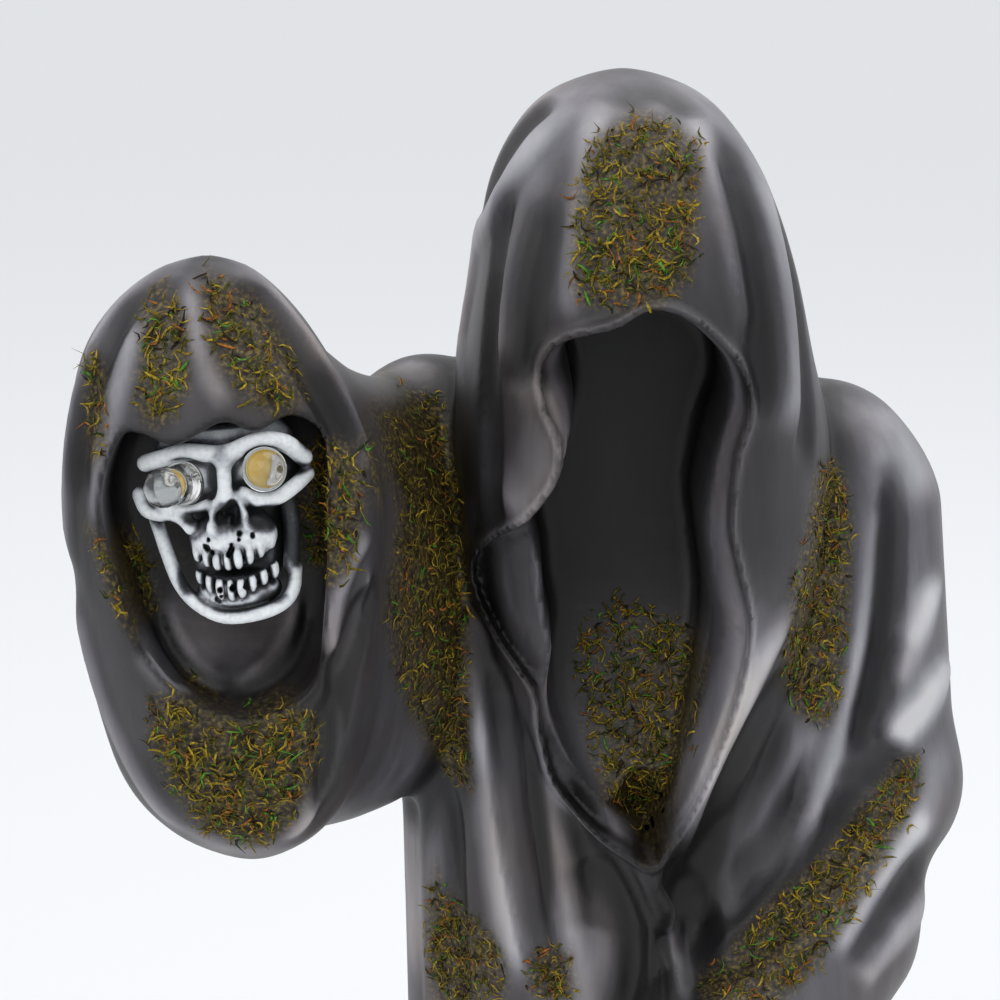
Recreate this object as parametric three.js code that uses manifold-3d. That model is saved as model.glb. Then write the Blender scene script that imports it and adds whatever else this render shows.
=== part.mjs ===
import * as THREE from "three";
import { edgeTable, triTable } from "three/addons/objects/MarchingCubes.js";
import Module from "manifold-3d";

const wasm = await Module();
wasm.setup();

// A cast figure of a hooded, hollow robe that holds a skull framed in its raised sleeve.
// Millimetres. +X is the figure's left arm, its front faces -Y, and it stands on Z = 0.

// Body, by height: half width, half depth, middle y
const ROBE = [
  [-20, 50, 40, 0],
  [0, 48.5, 39, 0],
  [30, 42.5, 34, 0],
  [80, 38, 30, 0],
  [140, 35.5, 26.5, 0],
  [195, 36, 25, 0],
  [235, 37, 23.5, 0],
  [256, 32, 20, 1],
  [270, 20, 14, 1],
  [282, 8, 8, 0],
];
const ROBE_FOLDS = 15;
const BASE = { halfWidth: 54, halfDepth: 45, height: 7, round: 4 };

// Hood, by height: half width, front y, back y, middle x
const HOOD = [
  [190, 2, -29, 8, 2],
  [203, 10.5, -32.5, 16, 2],
  [215, 18, -35, 20, 1.5],
  [230, 23.5, -37, 22, 1],
  [246, 26.8, -38, 23, 0.6],
  [262, 28.2, -38, 24, 0.2],
  [276, 25.8, -37, 24, -0.4],
  [289, 23.2, -34.5, 22.5, -0.8],
  [300, 20.2, -28.5, 19, -1.8],
  [308, 15.5, -22, 13, -2.6],
  [313.5, 9.6, -15, 6, -3],
  [316.6, 2, -7, -3, -3.2],
];
const HOOD_SQUARENESS = 2.5;
const HOOD_CAP = { at: [-2.6, -5.5, 292], radii: [19.5, 23, 24] };

// Hem of the hood's opening, anticlockwise from its top, seen from the front: x, z and the
// width of the cloth's inner face that shows beside it
const HOOD_HEM = [
  [0, 285.5, 0.3],
  [-5, 283, 0.5],
  [-12, 281, 1],
  [-15, 277.5, 3.5],
  [-14.5, 272, 4],
  [-12.3, 267, 1.5],
  [-13, 261.5, 0.4],
  [-17, 255.5, 0.6],
  [-22, 251, 6],
  [-24.5, 246.5, 9.5],
  [-24, 240.5, 9.5],
  [-20.5, 235, 7],
  [-15.7, 229, 1.6],
  [-14.8, 222, 1.4],
  [-12.5, 213, 3.6],
  [-7.5, 207.5, 5],
  [-2, 204.5, 3],
  [1.5, 203, 0.5],
  [3.5, 206.5, 0.6],
  [8, 215.5, 2.8],
  [12.5, 229, 4.2],
  [14.3, 239, 4.8],
  [12.6, 248, 4],
  [11, 255, 3],
  [11.6, 264.5, 2],
  [13.6, 271.5, 2],
  [12, 277.5, 1.4],
  [6, 283.5, 0.7],
];
const HEM_HEIGHT = 1.1;
const HEM_WIDTH = 1.9;
const LAPEL_STEP = 0.9;
const LAPEL_DEPTH = 6.5;
// Below this height the lapel on the figure's right is turned out, nearly flush
const TURNED_OUT = { top: 258, full: 250, depth: 1.8 };
const HOLLOW_TOP = 287;
// Back of the hood's hollow, by height: y
const HOLLOW_BACK = [
  [198, -31.5],
  [207, -27.5],
  [215, -22],
  [226, -15],
  [238, -9],
  [250, -5.5],
  [280, -3],
];

// Raised sleeve, by y: middle x, half width, lowest z, highest z
const SLEEVE = [
  [-52, -58.2, 18, 212.5, 291],
  [-44, -57, 20, 210.5, 290],
  [-34, -53.5, 20, 208, 284],
  [-22, -47, 19, 205, 276],
  [-8, -40, 17, 204, 271],
  [8, -33, 14, 210, 270],
  [20, -28, 9, 225, 260],
];
// Mouth of the sleeve, by height: half width, front y, back y, middle x
const MOUTH = [
  [210.5, 2, -50, -46, -54.8],
  [214.5, 9.5, -56, -38, -55.5],
  [220.5, 14.6, -59.5, -36, -56.3],
  [229.2, 17, -61.5, -36, -57],
  [245.5, 19.6, -63, -36, -57.6],
  [261.8, 21, -63, -36, -57.7],
  [275.4, 18.6, -61, -36, -59.2],
  [282.9, 15.4, -58, -37, -60.4],
  [288.4, 11.4, -54.5, -38, -60.6],
  [292.6, 6.6, -51, -42, -60],
  [295, 1.5, -48, -46, -59.4],
];
// Edge of the hollow that holds the skull, seen from the front: x, z
const MOUTH_HEM = [
  [-70, 272.5],
  [-67, 273.2],
  [-62.5, 272],
  [-56.5, 275],
  [-52.5, 273.5],
  [-48, 275.3],
  [-44, 272],
  [-43.5, 262],
  [-44.2, 248],
  [-46, 239],
  [-53, 235.5],
  [-61, 237.5],
  [-67, 243],
  [-71, 253],
  [-72.8, 264],
];
// Back of that hollow, by height: y
const MOUTH_BACK = [
  [224, -66],
  [231, -60.5],
  [238, -54],
  [245, -48.6],
  [252, -47.5],
  [300, -47.5],
];
const MOUTH_TOP = 277;

// Arms and shoulders: from, to, radius there, radius here
const SHOULDERS = [[-30, 3, 255], [29, 3, 252.5], 16.5, 15.8];
const UPPER_ARM = [[34, 3, 247.5], [37.3, 0, 206], 14.4, 14.6];
const FOREARM = [[37.2, -2, 203], [9, -31, 168], 14.8, 13];
const FOREARM_DROP = [[31.5, -12, 182], [7, -30, 150], 13.2, 11];

// Folds of the cloth, seen from the front: x and z of each end, bow to the left of that way,
// half width, height over the cloth (under it, below zero)
const FOLDS = [
  // hood
  [-6.5, 313.5, -11.5, 281, -1, 2.4, 0.8],
  [-5.5, 311.5, 7, 309.5, 3.5, 3, -1],
  [6, 312, 14.5, 279, 1.5, 3, 1],
  [9.5, 309.5, 16, 269, 2, 3.4, -1.9],
  [15, 306, 19.5, 264.5, 2, 3.2, 1],
  [18, 301, 22, 259.5, 2.5, 2.6, -1],
  [-10.5, 313, -26.5, 266, -6, 3, 1.2],
  [-12.5, 313, -23.5, 294.5, -2.5, 3.5, -1.8],
  [-19.5, 302.5, -21.5, 251, -2, 2.4, -2.2],
  [-14.5, 306, -20.5, 274, -1.5, 2.6, 0.7],
  [-13.5, 300.5, -18, 273, -1, 3, -0.8],
  [-16, 277.5, -20.5, 254, 3, 5, 1.2],
  // front of the robe, its right side
  [-25.5, 259, -24, 210.5, -0.5, 2.6, 1],
  [-21, 231, -13.5, 178, -1.5, 2.4, -2.8],
  [-23, 226.5, -16.5, 176.5, -1.5, 3.6, 1.1],
  [-28, 209.5, -25.5, 150, -0.5, 2, -1.6],
  [-15, 222, -6, 160, 1, 2.4, 0.8],
  [-7.5, 201, -6, 187, 1.5, 5, -0.9],
  // where the robe crosses below the opening
  [-0.5, 204.5, 5, 178, 2.5, 2.2, 1.5],
  [3, 203, 9, 181, 2, 3.4, -2.6],
  // its left side, down to the bent arm
  [23, 244.5, 4.5, 202.5, -2, 2.6, 1.1],
  [22.5, 231.5, 8, 189, -3.5, 4.2, -1.8],
  [28, 220.5, 9, 187.5, -3.5, 4.2, 1.3],
  [36, 262, 21, 195, 6, 2.4, 1.2],
  [37, 259.5, 34, 212, 2, 3, -2.6],
  [34, 212, 9, 185, 5, 3, -2.6],
  // bent arm
  [47, 241, 38, 223, 1, 3, 0.9],
  [49.5, 226.5, 37, 214.5, 2, 3.2, 1.2],
  [42.5, 214, 30, 202, -1, 3, -1.6],
  [46.5, 204.5, 29, 185, -1.5, 3.4, 1],
  [46, 196.5, 32, 183, -2.5, 3, -1.1],
  [46, 189.5, 32.5, 181, -1.5, 3, 1],
  // raised sleeve
  [-61, 293.5, -55.5, 276, -1.5, 1.8, 0.6],
  [-66.5, 289.5, -73.5, 259, -1, 2, 0.8],
  [-65.5, 292.5, -76, 263, -3.5, 2.2, -1.2],
  [-70, 290, -77.5, 252, -3.5, 2.4, 0.9],
  [-77.5, 252, -63.5, 216, -3, 2.4, 0.9],
  [-55.5, 292.5, -39.5, 268, 1.5, 2.4, -1.8],
  [-54.5, 293, -38, 265.5, 2.5, 2.4, 1],
  [-38, 260.5, -43.5, 242, -2, 2, 1.2],
  [-43.5, 242, -50.5, 215.5, 2.5, 2, 1.2],
  [-37, 252.5, -45, 219, -2, 2.8, -2.2],
];
// Folds behind: around the back of the hood and along the outside of the raised sleeve
const HOOD_BACK_FOLDS = 7;
const SLEEVE_SIDE_FOLDS = 5;

// Skull, in its own frame: u across, v towards the viewer, w up, from between its eyes
const SKULL = { at: [-56.2, -58.6, 268], roll: 5, top: 3.5, back: 9.4 };
const SOCKET = { radius: 3.3, back: -0.7 };

// Light-emitting diodes: a 5 mm dome on a flange
const LED = { radius: 2.5, flange: 2.9, flangeHeight: 1, length: 8.6 };
const LED_LEFT = { at: [-5.7, 0.7, -0.7], points: [-0.31, -0.94, 0.11] };
const LED_RIGHT = { at: [4.8, 0.7, 0], points: [0.13, -0.96, 0.24] };

// Spare height under the base, cut off flat at the end, then the step of the grid that each
// surface is drawn on and how far simplifying may move it
const SPARE = 5;
const FIGURE_GRID = 1.6;
const FIGURE_TOLERANCE = 0.65;
const SKULL_GRID = 0.75;
const SKULL_TOLERANCE = 0.5;

const FAR = 1e3;

function clamp(v, low, high) {
  return Math.min(Math.max(v, low), high);
}

function smoothstep(low, high, v) {
  const t = clamp((v - low) / (high - low), 0, 1);
  return t * t * (3 - 2 * t);
}

function join(a, b, k) {
  const h = Math.max(k - Math.abs(a - b), 0) / k;
  return Math.min(a, b) - h * h * k * 0.25;
}

function meet(a, b, k) {
  return -join(-a, -b, k);
}

function ellipse(u, v, a, b) {
  const k0 = Math.hypot(u / a, v / b) + 1e-6;
  const k1 = Math.hypot(u / (a * a), v / (b * b)) + 1e-9;
  return (k0 * (k0 - 1)) / k1;
}

function ellipsoid(x, y, z, at, radii) {
  const [u, v, w] = [x - at[0], y - at[1], z - at[2]];
  const [a, b, c] = radii;
  const k0 = Math.hypot(u / a, v / b, w / c) + 1e-6;
  const k1 = Math.hypot(u / (a * a), v / (b * b), w / (c * c)) + 1e-9;
  return (k0 * (k0 - 1)) / k1;
}

// A limb between two points, with its own radius at each
function limb(x, y, z, [a, b, ra, rb]) {
  const [ux, uy, uz] = [b[0] - a[0], b[1] - a[1], b[2] - a[2]];
  const [px, py, pz] = [x - a[0], y - a[1], z - a[2]];
  const t = clamp((px * ux + py * uy + pz * uz) / (ux * ux + uy * uy + uz * uz), 0, 1);
  return Math.hypot(px - t * ux, py - t * uy, pz - t * uz) - (ra + t * (rb - ra));
}

// Rows of [h, ...values] as a function of h that gives the values, smooth from row to row
function profile(rows) {
  const slope = (i, k) => {
    const lower = rows[Math.max(i - 1, 0)];
    const upper = rows[Math.min(i + 1, rows.length - 1)];
    return (upper[k] - lower[k]) / (upper[0] - lower[0]);
  };
  const out = new Float64Array(rows[0].length - 1);
  return (h) => {
    let i = 0;
    while (i < rows.length - 2 && h > rows[i + 1][0]) i += 1;
    const [low, high] = [rows[i], rows[i + 1]];
    const span = high[0] - low[0];
    const t = clamp((h - low[0]) / span, 0, 1);
    const [t2, t3] = [t * t, t * t * t];
    for (let k = 1; k < low.length; k += 1) {
      out[k - 1] =
        (2 * t3 - 3 * t2 + 1) * low[k] +
        (t3 - 2 * t2 + t) * span * slope(i, k) +
        (3 * t2 - 2 * t3) * high[k] +
        (t3 - t2) * span * slope(i + 1, k);
    }
    return out;
  };
}

// Points as the straight pieces of a line, with the box round them
function route(points) {
  const bits = [];
  for (let i = 0; i + 1 < points.length; i += 1) {
    const [a, b] = [points[i], points[i + 1]];
    const u = [b[0] - a[0], b[1] - a[1], b[2] - a[2]];
    bits.push({ a, u, long: u[0] ** 2 + u[1] ** 2 + u[2] ** 2 + 1e-9 });
  }
  const box = new THREE.Box3().setFromPoints(points.map((p) => new THREE.Vector3(...p)));
  return { bits, box };
}

// Distance to a line and how far along it that is, or null outside its reach
function nearest({ bits, box }, reach, x, y, z) {
  if (x < box.min.x - reach || x > box.max.x + reach) return null;
  if (y < box.min.y - reach || y > box.max.y + reach) return null;
  if (z < box.min.z - reach || z > box.max.z + reach) return null;
  let [best, along] = [FAR * FAR, 0];
  for (let i = 0; i < bits.length; i += 1) {
    const { a, u, long } = bits[i];
    const [px, py, pz] = [x - a[0], y - a[1], z - a[2]];
    const t = clamp((px * u[0] + py * u[1] + pz * u[2]) / long, 0, 1);
    const d = (px - t * u[0]) ** 2 + (py - t * u[1]) ** 2 + (pz - t * u[2]) ** 2;
    if (d < best) [best, along] = [d, (i + t) / bits.length];
  }
  return [Math.sqrt(best), along];
}

// Outside of the figure, before its hollows and folds

const robeAt = profile(ROBE);
const hoodAt = profile(HOOD);
const sleeveAt = profile(SLEEVE);
const mouthAt = profile(MOUTH);

function robe(x, y, z) {
  const [a, b, cy] = robeAt(z);
  const d = ellipse(x, y - cy, a, b);
  const angle = Math.atan2(x / a, -(y - cy) / b);
  const low = 1 - smoothstep(40, 230, z);
  let groove = 0;
  for (let i = 0; i < ROBE_FOLDS; i += 1) {
    const turn = (2 * Math.PI * (i + 0.35 * Math.sin(i * 2.3))) / ROBE_FOLDS + 0.1 * Math.sin(z / 60 + i * 1.7);
    const away = Math.abs(THREE.MathUtils.euclideanModulo(angle - turn + Math.PI, 2 * Math.PI) - Math.PI);
    const depth = (1.2 + 2.4 * low) * (0.75 + 0.25 * Math.sin(i * 5.1));
    groove += depth * (Math.exp(-((away / 0.075) ** 2)) - 0.45 * Math.exp(-(((away - 0.2) / 0.11) ** 2)));
  }
  return Math.max((d + groove) * 0.95, z - 285);
}

function base(x, y, z) {
  return meet(ellipse(x, y, BASE.halfWidth, BASE.halfDepth), z - BASE.height, BASE.round);
}

function hood(x, y, z) {
  const [a, front, back, cx] = hoodAt(z);
  const [cy, b] = [(front + back) / 2, (back - front) / 2];
  const [u, v] = [Math.abs(x - cx) / a, Math.abs(y - cy) / b];
  const size = (u ** HOOD_SQUARENESS + v ** HOOD_SQUARENESS) ** (1 / HOOD_SQUARENESS);
  const loft = (size - 1) * Math.min(a, b) * 0.9;
  const pleat = Math.cos(HOOD_BACK_FOLDS * Math.atan2(x - cx, y - cy + 4));
  const behind = smoothstep(-2, 10, y) * smoothstep(212, 250, z) * (1 - smoothstep(296, 312, z));
  const cap = ellipsoid(x, y, z, HOOD_CAP.at, HOOD_CAP.radii);
  return join(meet(loft, z - 315, 5), cap, 4) - 0.8 * pleat * behind;
}

function sleeve(x, y, z) {
  const [cx, a, low, high] = sleeveAt(y);
  const [b, cz] = [(high - low) / 2, (high + low) / 2];
  const v = z - cz;
  const tube = ellipse(x - cx, v, a * (1 - (0.14 * v) / b), b) * 0.85;
  const outer = smoothstep(4, 14, cx - x) * smoothstep(-52, -40, y) * (1 - smoothstep(-14, 0, y));
  const ripple = Math.cos(((z - low) / (high - low)) * 2 * Math.PI * SLEEVE_SIDE_FOLDS + 0.09 * y);
  const arm = meet(tube - 0.7 * ripple * outer, Math.max(-52 - y, y - 16), 4);
  const [half, front, back, mx] = mouthAt(z);
  const face = ellipse(x - mx, y - (front + back) / 2, half, (back - front) / 2) * 0.8;
  return join(arm, meet(face, Math.abs(z - 252.7) - 42, 2), 3);
}

function bentArm(x, y, z) {
  const arm = join(limb(x, y, z, UPPER_ARM), limb(x, y, z, FOREARM), 5);
  return join(arm, limb(x, y, z, FOREARM_DROP), 9);
}

function outside(x, y, z) {
  let d = join(robe(x, y, z), limb(x, y, z, SHOULDERS), 8);
  d = join(d, bentArm(x, y, z), 3);
  d = join(d, sleeve(x, y, z), 4);
  d = join(d, hood(x, y, z), 2);
  return join(d, base(x, y, z), 3);
}

// The point of a surface that is straight behind (x, z), seen from the front
function onFront(surface, x, z) {
  let [y, best, bestY] = [-75, FAR, -75];
  for (let i = 0; i < 160 && y < 25; i += 1) {
    const d = surface(x, y, z);
    if (Math.abs(d) < best) [best, bestY] = [Math.abs(d), y];
    if (d < 0.05) break;
    y += Math.max(0.6 * d, 0.05);
  }
  return [x, bestY, z];
}

// Folds

function makeFold([x0, z0, x1, z1, bow, halfWidth, height]) {
  const long = Math.hypot(x1 - x0, z1 - z0);
  const [nx, nz] = [-(z1 - z0) / long, (x1 - x0) / long];
  const middle = [(x0 + x1) / 2 + 2 * bow * nx, (z0 + z1) / 2 + 2 * bow * nz];
  const points = [];
  const count = Math.max(4, Math.round(long / 5));
  for (let i = 0; i <= count; i += 1) {
    const t = i / count;
    const [p, q, r] = [(1 - t) ** 2, 2 * t * (1 - t), t * t];
    points.push(onFront(outside, p * x0 + q * middle[0] + r * x1, p * z0 + q * middle[1] + r * z1));
  }
  return { line: route(points), reach: 1.35 * halfWidth, height };
}

function foldHeight({ line, reach, height }, x, y, z) {
  const found = nearest(line, reach, x, y, z);
  if (!found || found[0] >= reach) return 0;
  const across = (1 - (found[0] / reach) ** 2) ** 2;
  return height * across * smoothstep(0, 0.18, Math.min(found[1], 1 - found[1]));
}

const folds = FOLDS.map(makeFold);

// Outside of the figure with its folds
function cloth(x, y, z) {
  let d = outside(x, y, z);
  if (d > -12 && d < 12) {
    for (const fold of folds) d -= foldHeight(fold, x, y, z);
  }
  return d;
}

// Outlines seen from the front

function closedCurve(points, count) {
  const curve = new THREE.CatmullRomCurve3(
    points.map(([x, z]) => new THREE.Vector3(x, 0, z)),
    true,
  );
  return curve.getPoints(count).map((p) => [p.x, p.z]);
}

// Signed distance to a closed outline, below zero inside it
function loopDistance(loop, x, z) {
  let [best, inside] = [FAR * FAR, false];
  for (let i = 0; i + 1 < loop.length; i += 1) {
    const [[ax, az], [bx, bz]] = [loop[i], loop[i + 1]];
    const [ux, uz] = [bx - ax, bz - az];
    const t = clamp(((x - ax) * ux + (z - az) * uz) / (ux * ux + uz * uz + 1e-9), 0, 1);
    best = Math.min(best, (x - ax - t * ux) ** 2 + (z - az - t * uz) ** 2);
    if (az > z !== bz > z && x < ax + ((z - az) * ux) / uz) inside = !inside;
  }
  return inside ? -Math.sqrt(best) : Math.sqrt(best);
}

const HEM_MIDDLE = 0;
const hemLoop = closedCurve(HOOD_HEM, 72);
const innerLoop = closedCurve(
  HOOD_HEM.map(([x, z, face]) => [x + (x < HEM_MIDDLE ? face : -face), z - (z > 280 ? face : 0)]),
  72,
);
const mouthLoop = closedCurve(MOUTH_HEM, 48);
const hollowBackAt = profile(HOLLOW_BACK);
const mouthBackAt = profile(MOUTH_BACK);

function openHood(x, y, z, d) {
  if (y > 2 || z < 196 || z > 292 || x < -32 || x > 22) return d;
  const toHem = loopDistance(hemLoop, x, z);
  const toInner = loopDistance(innerLoop, x, z);
  const hem = HEM_HEIGHT * (1 - clamp((toHem - HEM_WIDTH / 2) / HEM_WIDTH, -1, 1) ** 2) ** 2;
  const { top, full, depth } = TURNED_OUT;
  const turned = smoothstep(-top, -full, -z) * smoothstep(0, 6, -x);
  const lapelDepth = LAPEL_DEPTH + (depth - LAPEL_DEPTH) * turned;
  const bevel = LAPEL_STEP + lapelDepth * clamp(-toHem / (-toHem + Math.max(toInner, 0) + 0.3), 0, 1);
  const lapel = Math.max(toHem, -(d + bevel));
  const hollow = meet(Math.max(toInner, z - HOLLOW_TOP), y - hollowBackAt(z)[0], 2.5);
  return Math.max(d - hem, -Math.min(lapel, hollow));
}

function openMouth(x, y, z, d) {
  if (y > -40 || x > -36 || z < 225) return d;
  const hem = loopDistance(mouthLoop, x, z);
  const hollow = meet(Math.max(hem, z - MOUTH_TOP), y - mouthBackAt(z)[0], 3);
  return meet(d, -hollow, 1);
}

function figure(x, y, z) {
  const hooded = openHood(x, y, z, cloth(x, y, z));
  return Math.max(openMouth(x, y, z, hooded), -SPARE - z);
}

// Skull

const skullRoll = THREE.MathUtils.degToRad(SKULL.roll);
const skullFrame = new THREE.Matrix4().makeBasis(
  new THREE.Vector3(Math.cos(skullRoll), 0, Math.sin(skullRoll)),
  new THREE.Vector3(0, -1, 0),
  new THREE.Vector3(-Math.sin(skullRoll), 0, Math.cos(skullRoll)),
);
skullFrame.setPosition(...SKULL.at);
const intoSkull = skullFrame.clone().invert();

const JAW = [
  [-9.2, -7, -6.5], [-8.4, -4, -12.5], [-5.4, -0.4, -17.4], [-0.6, 1, -18.7],
  [4, 0.2, -18.4], [6.8, -3, -15.8], [7.8, -7, -8],
];
const CHEEKBONE_LEFT = [[-5, -0.2, -4.4], [-9.5, -1.2, -4.9], [-12.4, -4.4, -2.6]];
const CHEEKBONE_RIGHT = [[5, -0.2, -4], [8, -2.6, -3.4]];
const BROW = [[-11, -3.6, 2.2], [-6, -0.4, 3.4], [0, -1, 2], [5, -0.2, 4], [9, -3, 2.6]];
const TEETH_PER_ROW = 8;
const TEETH_HALF_WIDTH = 5.4;

function boneLine(points) {
  const curve = new THREE.CatmullRomCurve3(points.map((p) => new THREE.Vector3(...p)));
  return route(curve.getPoints(points.length * 4).map((p) => [p.x, p.y, p.z]));
}
const jaw = boneLine(JAW);
const cheekboneLeft = boneLine(CHEEKBONE_LEFT);
const cheekboneRight = boneLine(CHEEKBONE_RIGHT);
const brow = boneLine(BROW);

function bone(line, radius, x, y, z) {
  return nearest(line, FAR, x, y, z)[0] - radius;
}

function teeth(u, v, w) {
  let d = FAR;
  for (const [gum, height] of [[-11.1, 1.5], [-15, 1.4]]) {
    for (let i = 0; i < TEETH_PER_ROW; i += 1) {
      const across = ((i + 0.5) / TEETH_PER_ROW) * 2 - 1;
      const at = [-0.4 + across * TEETH_HALF_WIDTH, 2 - 3.6 * across * across, gum + 0.9 * across * across];
      d = Math.min(d, ellipsoid(u, v, w, at, [0.72, 0.9, height]));
    }
  }
  return d;
}

function skull(x, y, z) {
  const p = new THREE.Vector3(x, y, z).applyMatrix4(intoSkull);
  const [u, v, w] = [p.x, p.y, p.z];
  let d = ellipsoid(u, v, w, [-0.8, -7, -1.5], [9.6, 6.6, 9]);
  d = join(d, ellipsoid(u, v, w, [-0.4, -2.6, -9], [6, 4.6, 4.6]), 1.5);
  d = join(d, ellipsoid(u, v, w, [-0.6, -2.8, -16], [5.4, 4, 2.8]), 1.2);
  d = join(d, ellipsoid(u, v, w, [-0.5, -7, -11], [6.6, 4, 7]), 1.5);
  d = join(d, bone(jaw, 1.3, u, v, w), 1);
  d = join(d, bone(cheekboneLeft, 1.1, u, v, w), 1.2);
  d = join(d, bone(cheekboneRight, 1.1, u, v, w), 1.2);
  d = join(d, bone(brow, 1.3, u, v, w), 1.5);
  d = join(d, ellipsoid(u, v, w, [-0.3, 0.3, -2.5], [1.1, 1.5, 3]), 1);
  d = join(d, teeth(u, v, w), 0.3);
  d = meet(d, -ellipsoid(u, v, w, [-0.9, 1, -13.1], [5.6, 1.6, 0.5]), 0.3);
  d = meet(d, -ellipsoid(u, v, w, [-0.4, 1, -5.8], [1.4, 2.4, 1.9]), 0.4);
  for (const { at } of [LED_LEFT, LED_RIGHT]) {
    const socket = Math.hypot(u - at[0], w - at[2]) - SOCKET.radius;
    d = Math.max(d, -Math.max(socket, SOCKET.back - v));
  }
  return Math.max(d, w - SKULL.top, -v - SKULL.back);
}

// Diodes

function ledProfile() {
  const { radius, flange, flangeHeight, length } = LED;
  const points = [[0, 0], [flange, 0], [flange, flangeHeight], [radius, flangeHeight]];
  const dome = length - radius;
  for (let i = 0; i <= 6; i += 1) {
    const turn = (i / 6) * (Math.PI / 2);
    points.push([i === 6 ? 0 : radius * Math.cos(turn), dome + radius * Math.sin(turn)]);
  }
  return points.map(([r, h]) => new THREE.Vector2(r, h));
}

// Surface of a field, drawn on a grid and made into one solid

function surface(field, box, step) {
  const size = box.getSize(new THREE.Vector3());
  const [nx, ny, nz] = [size.x, size.y, size.z].map((s) => Math.ceil(s / step / 4) * 4 + 1);
  const { x: x0, y: y0, z: z0 } = box.min;
  const values = new Float32Array(nx * ny * nz).fill(FAR);
  const index = (i, j, k) => i + nx * (j + ny * k);
  const at = (i, j, k) => field(x0 + i * step, y0 + j * step, z0 + k * step);

  // only the blocks that the surface passes near are worked out finely
  const blocks = [];
  for (let k = 0; k + 4 < nz; k += 4) {
    for (let j = 0; j + 4 < ny; j += 4) {
      for (let i = 0; i + 4 < nx; i += 4) {
        if (Math.abs(at(i + 2, j + 2, k + 2)) < step * 7) blocks.push([i, j, k]);
      }
    }
  }
  for (const [bi, bj, bk] of blocks) {
    for (let k = bk; k <= bk + 4; k += 1) {
      for (let j = bj; j <= bj + 4; j += 1) {
        for (let i = bi; i <= bi + 4; i += 1) {
          const n = index(i, j, k);
          if (values[n] === FAR) values[n] = at(i, j, k);
        }
      }
    }
  }

  const corners = [[0, 0, 0], [1, 0, 0], [1, 1, 0], [0, 1, 0], [0, 0, 1], [1, 0, 1], [1, 1, 1], [0, 1, 1]];
  const edges = [[0, 1], [1, 2], [3, 2], [0, 3], [4, 5], [5, 6], [7, 6], [4, 7], [0, 4], [1, 5], [2, 6], [3, 7]];
  const positions = [];
  const triangles = [];
  const made = new Map();

  function vertex(i, j, k, edge) {
    const [a, b] = edges[edge].map((c) => corners[c]);
    const [na, nb] = [a, b].map(([di, dj, dk]) => index(i + di, j + dj, k + dk));
    const key = na * 3 + (b[0] - a[0] ? 0 : b[1] - a[1] ? 1 : 2);
    if (!made.has(key)) {
      const t = clamp(values[na] / (values[na] - values[nb]), 0.02, 0.98);
      made.set(key, positions.length / 3);
      positions.push(
        x0 + (i + a[0] + t * (b[0] - a[0])) * step,
        y0 + (j + a[1] + t * (b[1] - a[1])) * step,
        z0 + (k + a[2] + t * (b[2] - a[2])) * step,
      );
    }
    return made.get(key);
  }

  for (const [bi, bj, bk] of blocks) {
    for (let c = 0; c < 64; c += 1) {
      const [i, j, k] = [bi + (c & 3), bj + ((c >> 2) & 3), bk + (c >> 4)];
      let shape = 0;
      for (let n = 0; n < 8; n += 1) {
        const [di, dj, dk] = corners[n];
        if (values[index(i + di, j + dj, k + dk)] < 0) shape |= 1 << n;
      }
      if (!edgeTable[shape]) continue;
      for (let n = shape * 16; triTable[n] !== -1; n += 3) {
        triangles.push(...[0, 2, 1].map((m) => vertex(i, j, k, triTable[n + m])));
      }
    }
  }

  const mesh = new wasm.Mesh({
    numProp: 3,
    vertProperties: Float32Array.from(positions),
    triVerts: Uint32Array.from(triangles),
  });
  return new wasm.Manifold(mesh);
}

// Whether every edge is shared by just two faces, where points that meet count as one
function isSound(solid) {
  const { vertProperties, triVerts } = solid.getMesh();
  const name = (v) => [0, 1, 2].map((k) => vertProperties[3 * v + k].toFixed(3)).join(" ");
  const uses = new Map();
  for (let n = 0; n < triVerts.length; n += 1) {
    const next = n % 3 === 2 ? n - 2 : n + 1;
    const edge = [name(triVerts[n]), name(triVerts[next])].sort().join("|");
    uses.set(edge, (uses.get(edge) || 0) + 1);
  }
  return [...uses.values()].every((count) => count === 2);
}

// Simplifies a solid as far as it stays sound
function lighten(solid, tolerance) {
  let lighter = solid.simplify(tolerance);
  for (let t = tolerance; !isSound(lighter) && t > 0.05; t *= 0.9) lighter = solid.simplify(t);
  return lighter;
}

function geometryOf(solid) {
  const { vertProperties, triVerts } = solid.getMesh();
  const geometry = new THREE.BufferGeometry();
  geometry.setAttribute("position", new THREE.BufferAttribute(vertProperties, 3));
  geometry.setIndex(new THREE.BufferAttribute(triVerts, 1));
  geometry.computeVertexNormals();
  return geometry;
}

function piece(name, geometry, colour, roughness) {
  const material = new THREE.MeshStandardMaterial({ color: colour, roughness, metalness: 0 });
  const mesh = new THREE.Mesh(geometry, material);
  mesh.name = name;
  return mesh;
}

const reaper = new THREE.Group();

const figureBox = new THREE.Box3(new THREE.Vector3(-86, -72, -9), new THREE.Vector3(60, 52, 322));
const figureSolid = lighten(surface(figure, figureBox, FIGURE_GRID), FIGURE_TOLERANCE).trimByPlane([0, 0, 1], 0);
reaper.add(piece("reaper_figure", geometryOf(figureSolid), 0x5c5b60, 0.55));

const skullBox = new THREE.Box3(new THREE.Vector3(-73, -66, 244), new THREE.Vector3(-41, -46, 277));
const skullSolid = lighten(surface(skull, skullBox, SKULL_GRID), SKULL_TOLERANCE);
reaper.add(piece("skull", geometryOf(skullSolid), 0xd9dde0, 0.6));

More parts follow.
